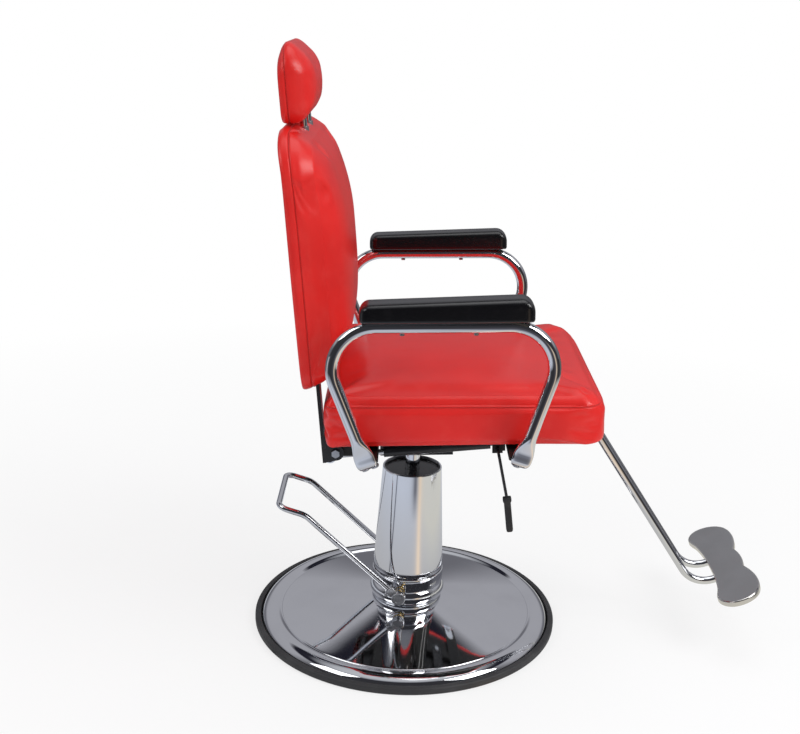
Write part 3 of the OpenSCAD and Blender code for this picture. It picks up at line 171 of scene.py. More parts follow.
def sweep(path, across, halves, power=2.0, around=32, end_round=0.0):
    """Bar along a path. Its section is a superellipse |x/a|^n + |y/b|^n = 1, x along `across`
    and y square to it and to the path; its ends are closed, rounded over end_round."""
    path = np.asarray(path, float)
    n = len(path)
    step = unit(np.diff(path, axis=0))
    t = unit(np.vstack([step[:1], step]) + np.vstack([step, step[-1:]]))
    w = np.broadcast_to(np.asarray(across, float), path.shape)
    w = unit(w - t * (w * t).sum(1, keepdims=True))
    v = np.cross(t, w)
    size = np.broadcast_to(np.asarray(halves, float), (n, 2))
    power = np.broadcast_to(np.asarray(power, float), (n,))[:, None]
    a = np.linspace(0, 2 * np.pi, around, endpoint=False)
    c, s = np.cos(a), np.sin(a)
    x = size[:, :1] * np.sign(c) * np.abs(c) ** (2 / power)
    y = size[:, 1:] * np.sign(s) * np.abs(s) ** (2 / power)
    rings = path[:, None] + x[..., None] * w[:, None] + y[..., None] * v[:, None]
    ends = []
    for end, sign in ((0, -1), (n - 1, 1)):
        phi = np.linspace(0, np.pi / 2, 6 if end_round else 2)[1:, None, None]
        ends.append(path[end] + (rings[end] - path[end]) * np.cos(phi)
                    + sign * t[end] * end_round * np.sin(phi))
    points = np.concatenate([ends[0][::-1], rings, ends[1]])
    return points.reshape(-1, 3), grid_faces(len(points), around)


def along_x(part):
    """A part lathed about Z turned to lie about X: (x, y, z) goes to (z, x, y)."""
    points, faces = part
    return points[:, [2, 0, 1]], faces


def moved(part, offset):
    """A part moved by an offset."""
    return part[0] + np.asarray(offset, float), part[1]


def placed(part, place):
    """A part put through one of the leaning frames."""
    return place(part[0]), part[1]


def soft_box(low, high, radius, turns=4):
    """Block with rounded edges: a cube's grid pushed out to (core point + radius * direction),
    the direction being that of the cube point from the core."""
    low, high = np.asarray(low, float), np.asarray(high, float)
    mid, half = (low + high) / 2, (high - low) / 2
    core = np.maximum(half - radius, 0)
    angle = np.linspace(-1, 1, 2 * turns + 1)
    u, v = np.meshgrid(angle, angle, indexing="ij")
    parts = []
    for axis in range(3):
        for sign in (-1, 1):
            cube = np.empty(u.shape + (3,))
            cube[..., axis] = sign
            cube[..., (axis + 1) % 3] = u
            cube[..., (axis + 2) % 3] = v
            corner = np.where(np.abs(cube) < 0.5 / turns, 0, np.sign(cube))
            away = np.tan(np.pi / 4 * (2 * np.abs(cube) - 1)) * 0.5 + 0.5
            away = np.where(np.abs(cube) >= 1, 1, np.clip(away, 0, 1)) * np.sign(cube)
            direction = unit(np.where(corner == 0, 0, away))
            parts.append(((mid + corner * core + radius * direction).reshape(-1, 3),
                          grid_faces(*u.shape, closed_columns=False)))
    return parts


def hex_bolt(across, height, chamfer=0.8):
    """Hexagon head on z = 0 with a chamfered top: its radius at angle a is that of the hexagon,
    and at the top no more than a circle's."""
    a = np.linspace(0, 2 * np.pi, 48, endpoint=False)
    sixth = (a + np.pi / 6) % (np.pi / 3) - np.pi / 6
    hexagon = across / 2 / np.cos(sixth)
    circle = np.full_like(a, across / 2 - 0.2)
    radii = np.stack([0 * a, hexagon, hexagon, np.minimum(hexagon, across / 2 + 0.1), circle,
                      0 * a])
    z = np.array([0, 0, height - 1.6 * chamfer, height - chamfer, height, height])[:, None] + 0 * a
    points = np.stack([radii * np.cos(a), radii * np.sin(a), z], -1)
    return points.reshape(-1, 3), grid_faces(6, len(a))


# ---------------------------------------------------------------- meshes

def new_mesh(name, parts, values=None, weld=2e-6, sharp=35):
    """One mesh from parts in millimetres: doubles merged, faces turned outwards, smooth but for
    edges sharper than `sharp` degrees. values are (name, array) numbers kept on the points."""
    counts = np.cumsum([0] + [len(points) for points, _ in parts])
    mesh = bpy.data.meshes.new(name)
    mesh.from_pydata(np.vstack([points for points, _ in parts]) / 1000, [],
                     np.vstack([faces + start for (_, faces), start in zip(parts, counts)]))
    for key, numbers in values or []:
        mesh.attributes.new(key, "FLOAT", "POINT").data.foreach_set(
            "value", np.asarray(numbers, np.float32).ravel())
    work = bmesh.new()
    work.from_mesh(mesh)
    bmesh.ops.remove_doubles(work, verts=work.verts, dist=weld)
    bmesh.ops.dissolve_degenerate(work, edges=work.edges, dist=weld / 10)
    bmesh.ops.recalc_face_normals(work, faces=work.faces)
    work.to_mesh(mesh)
    work.free()
    mesh.polygons.foreach_set("use_smooth", np.ones(len(mesh.polygons), bool))
    mesh.set_sharp_from_angle(angle=np.radians(sharp))
    return mesh


def put(name, parts, body, look, slot, *stands_for, **options):
    """A finished piece: its mesh and its finish's name, the body it rides on, its slot, which is
    not used, and the nodes it stands for."""
    piece = bpy.data.objects.new(name, new_mesh(name, parts, **options))
    bpy.context.scene.collection.objects.link(piece)
    piece.data.materials.append(finish(look))
    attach(piece, body)
    if stands_for:
        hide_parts(*stands_for)
    return piece


def put_chrome(name, parts, body, node, sharp=50):
    """A chromed piece that stands for one node."""
    return put(name, parts, body, "bright_chrome", "chrome", node, sharp=sharp)


def subdivide(piece):
    """A live Subdivision Surface, the same in the view and in the render."""
    rounder = piece.modifiers.new("round", "SUBSURF")
    rounder.levels = rounder.render_levels = 1


# ---------------------------------------------------------------- shader maths

class Signal:
    """A shader socket that takes + - * / and ** with numbers and other signals."""

    def __init__(self, paint, socket):
        self.paint, self.socket = paint, socket

    def maths(self, operation, first, second=0.0):
        return self.paint.node("ShaderNodeMath", {"operation": operation}, {0: first, 1: second})

    def __add__(self, other):
        return self.maths("ADD", self, other)

    __radd__ = __add__

    def __sub__(self, other):
        return self.maths("SUBTRACT", self, other)

    def __rsub__(self, other):
        return self.maths("SUBTRACT", other, self)

    def __mul__(self, other):
        return self.maths("MULTIPLY", self, other)

    __rmul__ = __mul__

    def __truediv__(self, other):
        return self.maths("DIVIDE", self, other)

    def __rtruediv__(self, other):
        return self.maths("DIVIDE", other, self)

    def __pow__(self, other):
        return self.maths("POWER", self, other)

    def span(self, low, high, to_low=0.0, to_high=1.0):
        """The signal stretched from one range to another, and held inside the second."""
        return self.paint.node("ShaderNodeMapRange", {"clamp": True}, {
            0: self, 1: low, 2: high, 3: to_low, 4: to_high})

    def hump(self, width):
        """1 / (1 + (x / width)^2)^2: one where the signal is zero, falling to both sides."""
        return 1.0 / (1.0 + (self / width) ** 2.0) ** 2.0


class Nodes:
    """The node tree of a material or a world, under construction."""

    def __init__(self, owner):
        owner.use_nodes = True
        self.tree = owner.node_tree

    def node(self, kind, settings=None, sockets=None, output=0):
        """Adds a node: its settings first, then the values or links of its sockets; gives the
        signal of one output."""
        made = self.tree.nodes.new(kind)
        for key, value in (settings or {}).items():
            setattr(made, key, value)
        self.fill(made, sockets or {})
        return Signal(self, made.outputs[output])

    def fill(self, node, sockets):
        """Gives a node's sockets their values or links."""
        for key, value in sockets.items():
            if isinstance(value, Signal):
                self.tree.links.new(value.socket, node.inputs[key])
            else:
                node.inputs[key].default_value = value

    def place(self, scale=(1, 1, 1), turn=(0, 0, 0)):
        """Object coordinates, stretched and turned."""
        here = self.node("ShaderNodeTexCoord", output=3)
        return self.node("ShaderNodeMapping", None, {0: here, 2: turn, 3: scale})

    def noise(self, scale, detail=3.0, where=None, rough=0.5):
        """Perlin noise, about 0.3 to 0.7."""
        return self.node("ShaderNodeTexNoise", None, {
            "Vector": where or self.place(), "Scale": scale, "Detail": detail, "Roughness": rough})

    def cells(self, scale, where=None, feature="SMOOTH_F1"):
        """Distance to the nearest of scattered points."""
        return self.node("ShaderNodeTexVoronoi", {"feature": feature}, {
            "Vector": where or self.place(), "Scale": scale})

    def blend(self, share, first, second):
        """Two colours mixed."""
        return self.node("ShaderNodeMix", {"data_type": "RGBA"}, {0: share, 6: first, 7: second},
                         output=2)

    def ramp(self, signal, stops):
        """Colours along a signal from 0 to 1, each stop a place and its colour."""
        coloured = self.node("ShaderNodeValToRGB", None, {0: signal})
        ramp = coloured.socket.node.color_ramp.elements
        ramp.remove(ramp[1])
        ramp[0].position, ramp[0].color = stops[0][0], rgba(stops[0][1])
        for place, colour in stops[1:]:
            ramp.new(place).color = rgba(colour)
        return coloured

    def value(self, name):
        """A number kept on the mesh's points."""
        return self.node("ShaderNodeAttribute", {"attribute_name": name}, output=2)

    def bump(self, height, distance, under=None, strength=1.0):
        """A relief of that height, over another one."""
        sockets = {"Height": height, "Distance": distance, "Strength": strength}
        if under is not None:
            sockets["Normal"] = under
        return self.node("ShaderNodeBump", None, sockets)

    def ray(self, kind):
        """One where the shader is seen by rays of a kind, such as Camera."""
        node = self.tree.nodes.get("rays") or self.tree.nodes.new("ShaderNodeLightPath")
        node.name = "rays"
        return Signal(self, node.outputs["Is %s Ray" % kind])


class Paint(Nodes):
    """A material under construction: one Principled shader and the nodes that feed it."""

    def __init__(self, name, **sockets):
        self.material = bpy.data.materials.new(name)
        super().__init__(self.material)
        self.shader = self.tree.nodes["Principled BSDF"]
        self.feed(**sockets)

    def feed(self, **sockets):
        """Gives the shader's sockets their values or links."""
        self.fill(self.shader, {key.replace("_", " "): value for key, value in sockets.items()})
        return self.material


def rgba(colour, share=1.0):
    """A colour times a share, with alpha."""
    return tuple(share * c for c in colour[:3]) + (1.0,)


# ---------------------------------------------------------------- finishes

def vinyl(name, seamed):
    """Coated vinyl: fine pebble grain, soft waves of the foam under it, faint mottling, a duller
    line where a seam is sewn with painted shade darkening its groove, and a black cover on the
    underside."""
    look = bpy.context.scene.salon_upholstery
    p = Paint(name, Coat_Weight=0.10, Coat_Roughness=0.18, Specular_IOR_Level=0.45)
    mottle = p.noise(7.0, 4.0)
    pebble = p.cells(1000.0 / look.grain, feature="SMOOTH_F1")
    fine = p.noise(2400.0, 2.0)
    wave = p.noise(11.0, 2.0)
    colour = p.blend(mottle.span(0.3, 0.7), rgba(look.colour, 0.9), rgba(look.colour, 1.08))
    worn = p.noise(38.0, 5.0).span(0.52, 0.75)
    colour = p.blend(worn * 0.06, colour, rgba((0.95, 0.16, 0.13)))
    rough = 0.27 + 0.10 * mottle + 0.05 * worn
    relief = p.bump(wave, 0.0020, strength=0.35)
    relief = p.bump(pebble + 0.5 * fine, 0.00016, relief, strength=0.6)
    if seamed:
        seam = p.value("seam")
        colour = p.blend(seam.span(-80, -83), colour, rgba((0.008, 0.008, 0.009)))
        groove_and_shade = seam.hump(1.5)
        # Painted shade: the vinyl is darkened along the seam's groove; the duller roughness and the
        # sunk relief there are real.
        colour = p.blend(groove_and_shade * 0.3, colour, rgba(look.colour, 0.4))
        rough = rough + 0.15 * groove_and_shade
        pucker = p.noise(150.0, 2.0) * seam.hump(9.0)
        relief = p.bump(0.6 * pucker - groove_and_shade, 0.0009, relief, strength=0.7)
    return p.feed(Base_Color=colour, Roughness=rough, Normal=relief)


def thread(name):
    """Sewing thread: twisted, a shade darker than the vinyl."""
    look = bpy.context.scene.salon_upholstery
    p = Paint(name, Sheen_Weight=0.3, Specular_IOR_Level=0.3)
    twist = p.noise(1800.0, 1.0)
    return p.feed(Base_Color=p.blend(twist, rgba(look.colour, 0.42), rgba(look.colour, 0.75)),
                  Roughness=0.45 + 0.3 * twist, Normal=p.bump(twist, 0.0002))


def chrome(name):
    """Bright plate: a mirror with the faintest smears and polishing haze."""
    look = bpy.context.scene.salon_metal
    p = Paint(name, Metallic=1.0)
    smear = p.noise(9.0, 5.0, p.place((1, 1, 0.35))).span(0.45, 0.75)
    haze = p.noise(160.0, 3.0)
    colour = p.blend(smear, rgba(look.chrome), rgba(look.chrome, 0.93))
    rough = look.roughness + 0.035 * smear + 0.02 * haze
    return p.feed(Base_Color=colour, Roughness=rough, Normal=p.bump(haze, 0.00002, strength=0.4))


def plated(name, colour, rough):
    """Plated or machined metal: cloudy colour, fine directionless scratches."""
    p = Paint(name, Metallic=1.0)
    cloud = p.noise(45.0, 4.0).span(0.35, 0.7)
    scratch = p.noise(900.0, 2.0, p.place((1, 1, 0.06)))
    return p.feed(Base_Color=p.blend(cloud * 0.5, rgba(colour), rgba(colour, 0.62)),
                  Roughness=rough + 0.16 * cloud + 0.08 * scratch,
                  Normal=p.bump(scratch, 0.00004, strength=0.5))


def coated(name, colour, rough, grain, depth, dust):
    """Paint, plastic or rubber: a fine orange peel and a little pale dust."""
    p = Paint(name, Specular_IOR_Level=0.45)
    peel = p.cells(grain)
    cloud = p.noise(14.0, 5.0).span(0.45, 0.8)
    pale = tuple(c + 0.05 for c in colour[:3])
    return p.feed(Base_Color=p.blend(cloud * dust, rgba(colour), rgba(pale)),
                  Roughness=rough + 0.12 * cloud,
                  Normal=p.bump(peel, depth, strength=0.6))


def dust_cover(name):
    """Black woven cover under the seat board."""
    p = Paint(name, Specular_IOR_Level=0.2, Sheen_Weight=0.2)
    weave = p.noise(1500.0, 1.0)
    return p.feed(Base_Color=p.blend(weave, rgba((0.006, 0.006, 0.007)),
                                     rgba((0.014, 0.014, 0.016))),
                  Roughness=0.7 + 0.2 * weave, Normal=p.bump(weave, 0.0002))


def pad_skin(name):
    """Skin of the arm pads: satin black with a pebble."""
    p = Paint(name, Coat_Weight=0.25, Coat_Roughness=0.18, Specular_IOR_Level=0.5)
    pebble = p.cells(620.0)
    cloud = p.noise(11.0, 4.0).span(0.4, 0.75)
    worn = p.noise(60.0, 6.0).span(0.6, 0.8)
    return p.feed(Base_Color=p.blend(worn * 0.3, rgba((0.004, 0.004, 0.005)),
                                     rgba((0.02, 0.018, 0.02))),
                  Roughness=0.20 + 0.10 * cloud,
                  Normal=p.bump(pebble, 0.00016, strength=0.6))


def plywood(name):
    """Birch plywood: long grain from stretched noise, darker late wood."""
    p = Paint(name, Specular_IOR_Level=0.3)
    grain = p.noise(60.0, 6.0, p.place((1, 0.06, 1)))
    ring = p.noise(14.0, 3.0, p.place((1, 0.12, 1)))
    tone = 0.6 * grain + 0.4 * ring
    colour = p.ramp(tone, ((0.30, (0.30, 0.17, 0.07)), (0.5, (0.50, 0.33, 0.17)),
                           (0.72, (0.62, 0.45, 0.26))))
    return p.feed(Base_Color=colour, Roughness=0.6 + 0.2 * grain, Normal=p.bump(grain, 0.0004))


def footplate_metal(name):
    """Cast footplate: a satin grey top and a polished rim, told apart by the value on its
    points."""
    look = bpy.context.scene.salon_metal
    p = Paint(name, Metallic=1.0)
    rim = p.value("rim").span(0.35, 0.65)
    speck = p.noise(700.0, 3.0)
    cloud = p.noise(16.0, 4.0).span(0.35, 0.75)
    top = p.blend(cloud, rgba(look.footplate), rgba(look.footplate, 0.9))
    colour = p.blend(rim, top, rgba((0.74, 0.72, 0.69)))
    rough = (0.40 + 0.1 * cloud) * (1 - rim) + 0.12 * rim
    return p.feed(Base_Color=colour, Roughness=rough,
                  Normal=p.bump(speck * (1 - rim), 0.00008, strength=0.6))


# How each finish is made, and with what: the colour and roughness of a plated one, and also
# the grain, the relief and the dust of a coated one
FINISHES = {
    "red_vinyl_seamed": (vinyl, True),
    "red_vinyl_plain": (vinyl, False),
    "red_thread": (thread,),
    "bright_chrome": (chrome,),
    "footplate_metal": (footplate_metal,),
    "pad_skin": (pad_skin,),
    "dust_cover": (dust_cover,),
    "plywood": (plywood,),
    "zinc_plate": (plated, (0.66, 0.67, 0.70), 0.22),
    "blackened_iron": (plated, (0.16, 0.16, 0.17), 0.38),
    "turned_bronze": (plated, (0.62, 0.42, 0.18), 0.25),
    "yellow_wire": (plated, (0.78, 0.55, 0.22), 0.2),
    "ring_rubber": (coated, (0.036, 0.036, 0.039), 0.55, 260.0, 0.0003, 0.6),
    "black_plastic": (coated, (0.02, 0.02, 0.022), 0.42, 700.0, 0.00015, 0.25),
    "black_powder_coat": (coated, (0.014, 0.014, 0.016), 0.22, 500.0, 0.00008, 0.25),
    "frame_paint": (coated, (0.012, 0.011, 0.010), 0.4, 350.0, 0.0001, 0.1),
    "weight_primer": (coated, (0.05, 0.05, 0.055), 0.6, 200.0, 0.0004, 0.6),
    "seal_rubber": (coated, (0.02, 0.02, 0.02), 0.4, 900.0, 0.00015, 0.25),
}
MADE = {}


def finish(name):
    """A finish by its name, made once and kept for the next piece."""
    if name not in MADE:
        make, *values = FINISHES[name]
        MADE[name] = make(name, *values)
    return MADE[name]


# ---------------------------------------------------------------- base and column

def base_parts():
    """Edge ring, dome, collar, shroud and rod, each a closed profile turned about Z."""
    ring = lathe(rounded([(264, 0), (292, 0), (292, 14), (281, 14), (281, 3), (264, 3)],
                         [0.8, 4, 3.6, 1.5, 0.6, 0.6], 8, closed=True), 192)
    bead = spline([(280.6, 3), (280, 9), (276.5, 15.5), (270, 20.8), (261, 24), (251, 23.6),
                   (243, 20.4), (241.5, 20.0)], 40)
    cone = [(240.5, 21.2), (232, 22.7), (200, 28.2), (140, 38.6), (84, 48.3), (70, 50.8),
            (62, 52.2)]
    dome = lathe(shell(np.vstack([bead, spline(cone, 8)]), -1.6), 256)
    b = np.radians(np.linspace(-44, 50, 24))
    bulge = np.stack([53 + 18.5 * np.cos(b), 65.5 + 18.5 * np.sin(b)], 1)
    band = rounded([(66, 80.2), (68.3, 81.2), (68.3, 106), (66.3, 107), (62.4, 103.5), (58, 103.5)],
                   [0, 0.8, 0.9, 0.5, 0.5, 0], 5)
    collar = lathe(np.vstack([[(58, 52)], bulge, band]), 192)
    waist = spline([(62.8, 104.3), (64.9, 106.6), (66.3, 110), (66.9, 116), (66.6, 124),
                    (65.1, 150)], 32)
    taper = np.stack([np.linspace(65.1, 56, 20), np.linspace(150, 313, 20)], 1)[1:]
    lip = rounded([(56, 313), (55.8, 316), (52.6, 316), (52.4, 311)], [0, 1.5, 1.5, 0], 6)[1:]
    shroud = lathe(shell(np.vstack([waist, taper, lip]), -1.3), 192)
    rod = lathe(rounded([(0, 163.1), (9.5, 163.1), (9.5, 183), (13.5, 183), (13.5, 418), (0, 418)],
                        [0, 0.5, 0, 0.8, 1.2, 0], 4), 96, closed=False)
    return ring, dome, collar, shroud, rod


class SALON_OT_base(bpy.types.Operator):
    """Makes the rubber edge ring and the chromed dome of the base"""
    bl_idname = "salon.base"
    bl_label = "Base"

    def execute(self, context):
        ring, dome = base_parts()[:2]
        put("edge_ring", [ring], "base", "ring_rubber", "base_rubber", "base_ring", sharp=50)
        put_chrome("chrome_dome", [dome], "base", "base_cover")
        return {"FINISHED"}


class SALON_OT_column(bpy.types.Operator):
    """Makes the collar, the shroud and the lift rod"""
    bl_idname = "salon.column"
    bl_label = "Column"

    def execute(self, context):
        collar, shroud, rod = base_parts()[2:]
        put_chrome("chrome_collar", [collar], "base", "pump_collar")
        put_chrome("chrome_shroud", [shroud], "base", "pump_shroud")
        put_chrome("lift_rod", [rod], "seat", "piston_rod")
        return {"FINISHED"}


# ---------------------------------------------------------------- pedal

PEDAL_Y, PEDAL_Z = 17.0, 78.0
PEDAL_SLOPE = np.degrees(np.arctan2(242 - PEDAL_Z, 195 - PEDAL_Y))


def on_pedal_arm(side):
    """The frame of one pedal clamp: y runs up the pedal's arm."""
    return lambda points: turned(points, PEDAL_SLOPE) + [side * 80, PEDAL_Y, PEDAL_Z]


def socket_screw(radius, height):
    """Cap screw standing on z = 0: a knurled-looking barrel with a socket sunk in its top."""
    return lathe(rounded([(0, 0), (radius, 0), (radius, height), (radius * 0.55, height),
                          (radius * 0.5, height * 0.45), (0, height * 0.35)],
                         [0, 0.2, 0.5, 0.1, 0, 0], 4), 32, closed=False)


class SALON_OT_pedal(bpy.types.Operator):
    """Makes the pump pedal's bar, its clamps with their screws, and its return spring"""
    bl_idname = "salon.pedal"
    bl_label = "Pedal"

    def execute(self, context):
        a = np.radians(PEDAL_SLOPE)
        start = np.array([0, PEDAL_Y + 14 * np.cos(a), PEDAL_Z + 14 * np.sin(a)])
        bend, tip, out = np.array([0, 195, 242]), np.array([0, 244, 257]), np.array([80, 0, 0])
        path = rounded([start + out, bend + out, tip + out, tip - out, bend - out, start - out],
                       [0, 40, 18, 18, 40, 0], 14)
        across = np.cross(np.gradient(path, axis=0), [0.0, -np.sin(a), np.cos(a)])
        across[np.linalg.norm(across, axis=1) < 1e-6] = [1, 0, 0]
        put_chrome("pedal_bow", [sweep(path, across, (5.5, 5.5), around=28)], "pedal", "pedal_bar")
        clamps, screws = [], []
        for side in (-1, 1):
            place = on_pedal_arm(side)
            boss = lathe(rounded([(8.1, -6), (13, -6), (13, 6), (8.1, 6)], [0.3, 1.2, 1.2, 0.3], 5,
                                 closed=True), 64)
            clamps.append(placed(moved(along_x(boss), (side * 3.5, 0, 0)), place))
            clamps += [placed(face, place)
                       for face in soft_box((-7.5, 11.5, -8.5), (7.5, 26.5, 8.5), 1.6)]
            points, faces = socket_screw(4.4, 6)
            screws.append((place(turned(points, 180) + [0, 20, -8.2]), faces))
        put("pedal_clamp_blocks", clamps, "pedal", "zinc_plate", "steel", "pedal_clamps", sharp=40)
        put("pedal_cap_screws", screws, "pedal", "zinc_plate", "steel", "pedal_screws", sharp=40)
        turns = np.linspace(0, 1.5, 61)
        angle = -np.pi / 2 + 2 * np.pi * turns
        coil = np.stack([-71.8 - 1.9 * turns, PEDAL_Y - 10.2 * np.cos(angle),
                         PEDAL_Z + 10.2 * np.sin(angle)], 1)
        hook = spline([coil[-1], [-74.65, 13, 92.2], [-73.8, 9, 100.2], [-71.8, 5, 102.2]], 6)[1:]
        spring = sweep(np.vstack([coil, hook]), (1, 0, 0.02), (0.8, 0.8), around=10, end_round=0.5)
        put("pedal_return_spring", [spring], "base", "yellow_wire", "spring_steel",
            "pedal_spring", sharp=60)
        return {"FINISHED"}


# ---------------------------------------------------------------- armrests

ARM_X, ARM_TOP, ARM_R = 283.0, 267.0, 11.0      # axis of a tube, its top run, its radius
STRAP_Z, STRAP_BEND, STRAP_LONG = 35.0, 12.0, 50.0
STRAP_WIDE, STRAP_THICK, STRAP_BOLT = 17.0, 2.6, 260.0
LEG_TILT = 19.1
ARM_LEGS = ((-80, -1, 2), (175, 1, 1))          # s of the foot, way that it leans, bolts in it


def leg_y(foot, z, way):
    """y of a leg's axis at height z: it leans away from its foot as it rises."""
    return -(foot + way * np.tan(np.radians(LEG_TILT)) * (z - 34))


def arm_leg(side, foot, way):
    """Axis of a leg's last part from its top down, then a quarter circle and the strap, turned in
    under the seat."""
    lean = np.radians(LEG_TILT)
    down, inward = np.array([0, way * np.sin(lean), -np.cos(lean)]), np.array([-side, 0, 0])
    low = np.array([side * ARM_X, leg_y(foot, STRAP_Z, way), STRAP_Z])
    a = np.linspace(0, np.pi / 2, 14)[1:, None]
    quarter = low + STRAP_BEND * (inward * (1 - np.cos(a)) + down * np.sin(a))
    strap = quarter[-1] + inward * np.linspace(0, STRAP_LONG, 26)[1:, None]
    return np.vstack([low - down * np.linspace(70, 0, 30)[:, None], quarter, strap])


def arm_path(side):
    """Path, width direction, section and its power of one armrest tube. The section goes from a
    circle to a flat strap down the leg's last part, by a smooth step of the height; it draws in
    by a quarter circle round the bend, and the strap's end is a half circle."""
    lean = np.radians(LEG_TILT)
    legs = [arm_leg(side, foot, way) for foot, way, _ in ARM_LEGS]
    tops = [[side * ARM_X, leg_y(foot, ARM_TOP, way), ARM_TOP] for foot, way, _ in ARM_LEGS]
    loop = rounded([legs[0][0], *tops, legs[1][0]], [0, 72, 72, 0], 28)
    run = np.vstack([resampled(loop[i:i + 2], 12)[:-1] for i in range(len(loop) - 1)])
    path = np.vstack([legs[0][::-1], run[1:], legs[1]])
    across = np.cross(np.gradient(path, axis=0), [1.0, 0, 0])
    flat, swell, taper = np.zeros(len(path)), np.zeros(len(path)), np.ones(len(path))
    for line, way in zip(legs, (-1, 1)):
        z, reach = line[::way, 2], np.abs(line[::way, 0]) - (ARM_X - STRAP_BEND - STRAP_LONG)
        cut = slice(0, len(line)) if way < 0 else slice(-len(line), None)
        share = np.clip((78 - z) / 36, 0, 1)
        flat[cut] = share * share * (3 - 2 * share)
        swell[cut] = 9 * np.sqrt(1 - np.clip((37 - z) / 14.1, 0, 1) ** 2) - 9
        past = np.clip(STRAP_WIDE - reach, 0, None) / (STRAP_WIDE + 0.01)
        taper[cut] = np.sqrt(1 - past ** 2)
        across[cut] = [0, np.cos(lean), way * np.sin(lean)]
    signs = np.sign((across[1:] * across[:-1]).sum(1))
    across *= np.concatenate([[1], np.cumprod(np.where(signs == 0, 1, signs))])[:, None]
    width = (ARM_R + (STRAP_WIDE - ARM_R) * flat + swell) * taper
    thick = ARM_R + (STRAP_THICK - ARM_R) * flat
    return path, across, np.stack([width, thick], 1), 2 + 3.0 * flat


class SALON_OT_armrests(bpy.types.Operator):
    """Makes the two bent armrest tubes and the bolts of their flattened ends"""
    bl_idname = "salon.armrests"
    bl_label = "Armrest tubes"

    def execute(self, context):
        for side, name in ((1, "left"), (-1, "right")):
            tube = sweep(*arm_path(side), around=40)
            put_chrome("armrest_" + name, [placed(tube, on_seat)], "seat", "arm_tube_" + name, 60)
        shank = lathe(rounded([(0, -15), (3.9, -15), (3.9, 1), (0, 1)], [0, 0.8, 0, 0], 3), 32,
                      closed=False)
        bolts = []
        for side in (-1, 1):
            for foot, way, count in ARM_LEGS:
                for y in 16 * (np.arange(count) - (count - 1) / 2):
                    for points, faces in (hex_bolt(13, 5), shank):
                        hung = points * [1, 1, -1] + [side * STRAP_BOLT, y,
                                                      -STRAP_BEND - STRAP_THICK]
                        leaned = turned(hung, way * LEG_TILT) + [0, leg_y(foot, STRAP_Z, way),
                                                                 STRAP_Z]
                        bolts.append((on_seat(leaned), faces))
        put("armrest_bolts", bolts, "seat", "zinc_plate", "steel", "arm_bolts", sharp=30)
        return {"FINISHED"}


def arm_pad(side):
    """Arm pad: sections along s, each a superellipse with a sharper lower half. Its top rises to
    the front and falls on an arc of 22 there and 16 at the rear, and its sides on arcs of 14."""
    low, rear, front, half = 278.0, -86.0, 192.0, 27.5
    phi = np.linspace(0, np.pi / 2, 12)
    reach = 24 * (1 - np.cos(phi))
    s = np.concatenate([rear + reach, np.linspace(rear + 24, front - 24, 34)[1:-1],
                        (front - reach)[::-1]])
    from_rear, from_front = s - rear, front - s

    def arc(distance, r):
        inside = np.clip(distance, 0, r)
        return np.sqrt(np.clip(r * r - (r - inside) ** 2, 0, None)) - r

    top = 308 + 9 * (s - rear) / (front - rear) + arc(from_rear, 16) + arc(from_front, 22)
    bottom = low - arc(from_rear, 4) - arc(from_front, 4)
    width = half + arc(from_rear, 14) + arc(from_front, 14)
    a = np.linspace(0, 2 * np.pi, 64, endpoint=False)
    c, d = np.cos(a), np.sin(a)
    power = np.where(d > 0, 3.6, 8.0)
    x = side * ARM_X + width[:, None] * np.sign(c) * np.abs(c) ** (2 / power)
    mid, tall = (top + bottom) / 2, (top - bottom) / 2
    z = mid[:, None] + tall[:, None] * np.sign(d) * np.abs(d) ** (2 / power)
    rings = np.stack([x, np.broadcast_to(-s[:, None], x.shape), z], -1)
    centre = rings.mean(1, keepdims=True)
    shrink = np.array([0.0, 0.35, 0.7])[:, None, None]
    rings = np.concatenate([centre[:1] + (rings[:1] - centre[:1]) * shrink, rings,
                            centre[-1:] + (rings[-1:] - centre[-1:]) * shrink[::-1]])
    return rings.reshape(-1, 3), grid_faces(len(rings), 64)


class SALON_OT_arm_pads(bpy.types.Operator):
    """Makes the two moulded arm pads"""
    bl_idname = "salon.arm_pads"
    bl_label = "Arm pads"

    def execute(self, context):
        for side, name in ((1, "left"), (-1, "right")):
            piece = put("armrest_pad_" + name, [placed(arm_pad(side), on_seat)], "seat", "pad_skin",
                        "pad_vinyl", "arm_pad_" + name, sharp=60)
        return {"FINISHED"}


# ---------------------------------------------------------------- footrest

class SALON_OT_footrest(bpy.types.Operator):
    """Makes the two footrest tubes and the butterfly footplate"""
    bl_idname = "salon.footrest"
    bl_label = "Footrest"

    def execute(self, context):
        rise = np.radians(FOOT_RISE)
        path = rounded([(0, -30, 12), (0, -328, 12), (0, -FOOT_S, FOOT_Z),
                        (0, -FOOT_S - 98 * np.cos(rise), FOOT_Z + 98 * np.sin(rise))],
                       [0, 54, 54, 0], 22)
        tube = sweep(path, (1, 0, 0), (7.5, 7.5), around=32)
        put_chrome("footrest_bows", [placed(moved(tube, (x, 0, 0)), on_seat) for x in (-35, 35)],
                   "seat", "footrest_tubes")
        points, faces, rim = footplate()
        put("footplate", [(on_footrest(points), faces)], "seat", "footplate_metal",
            "footplate_metal", "footrest_plate", values=[("rim", rim)], sharp=50)
        return {"FINISHED"}


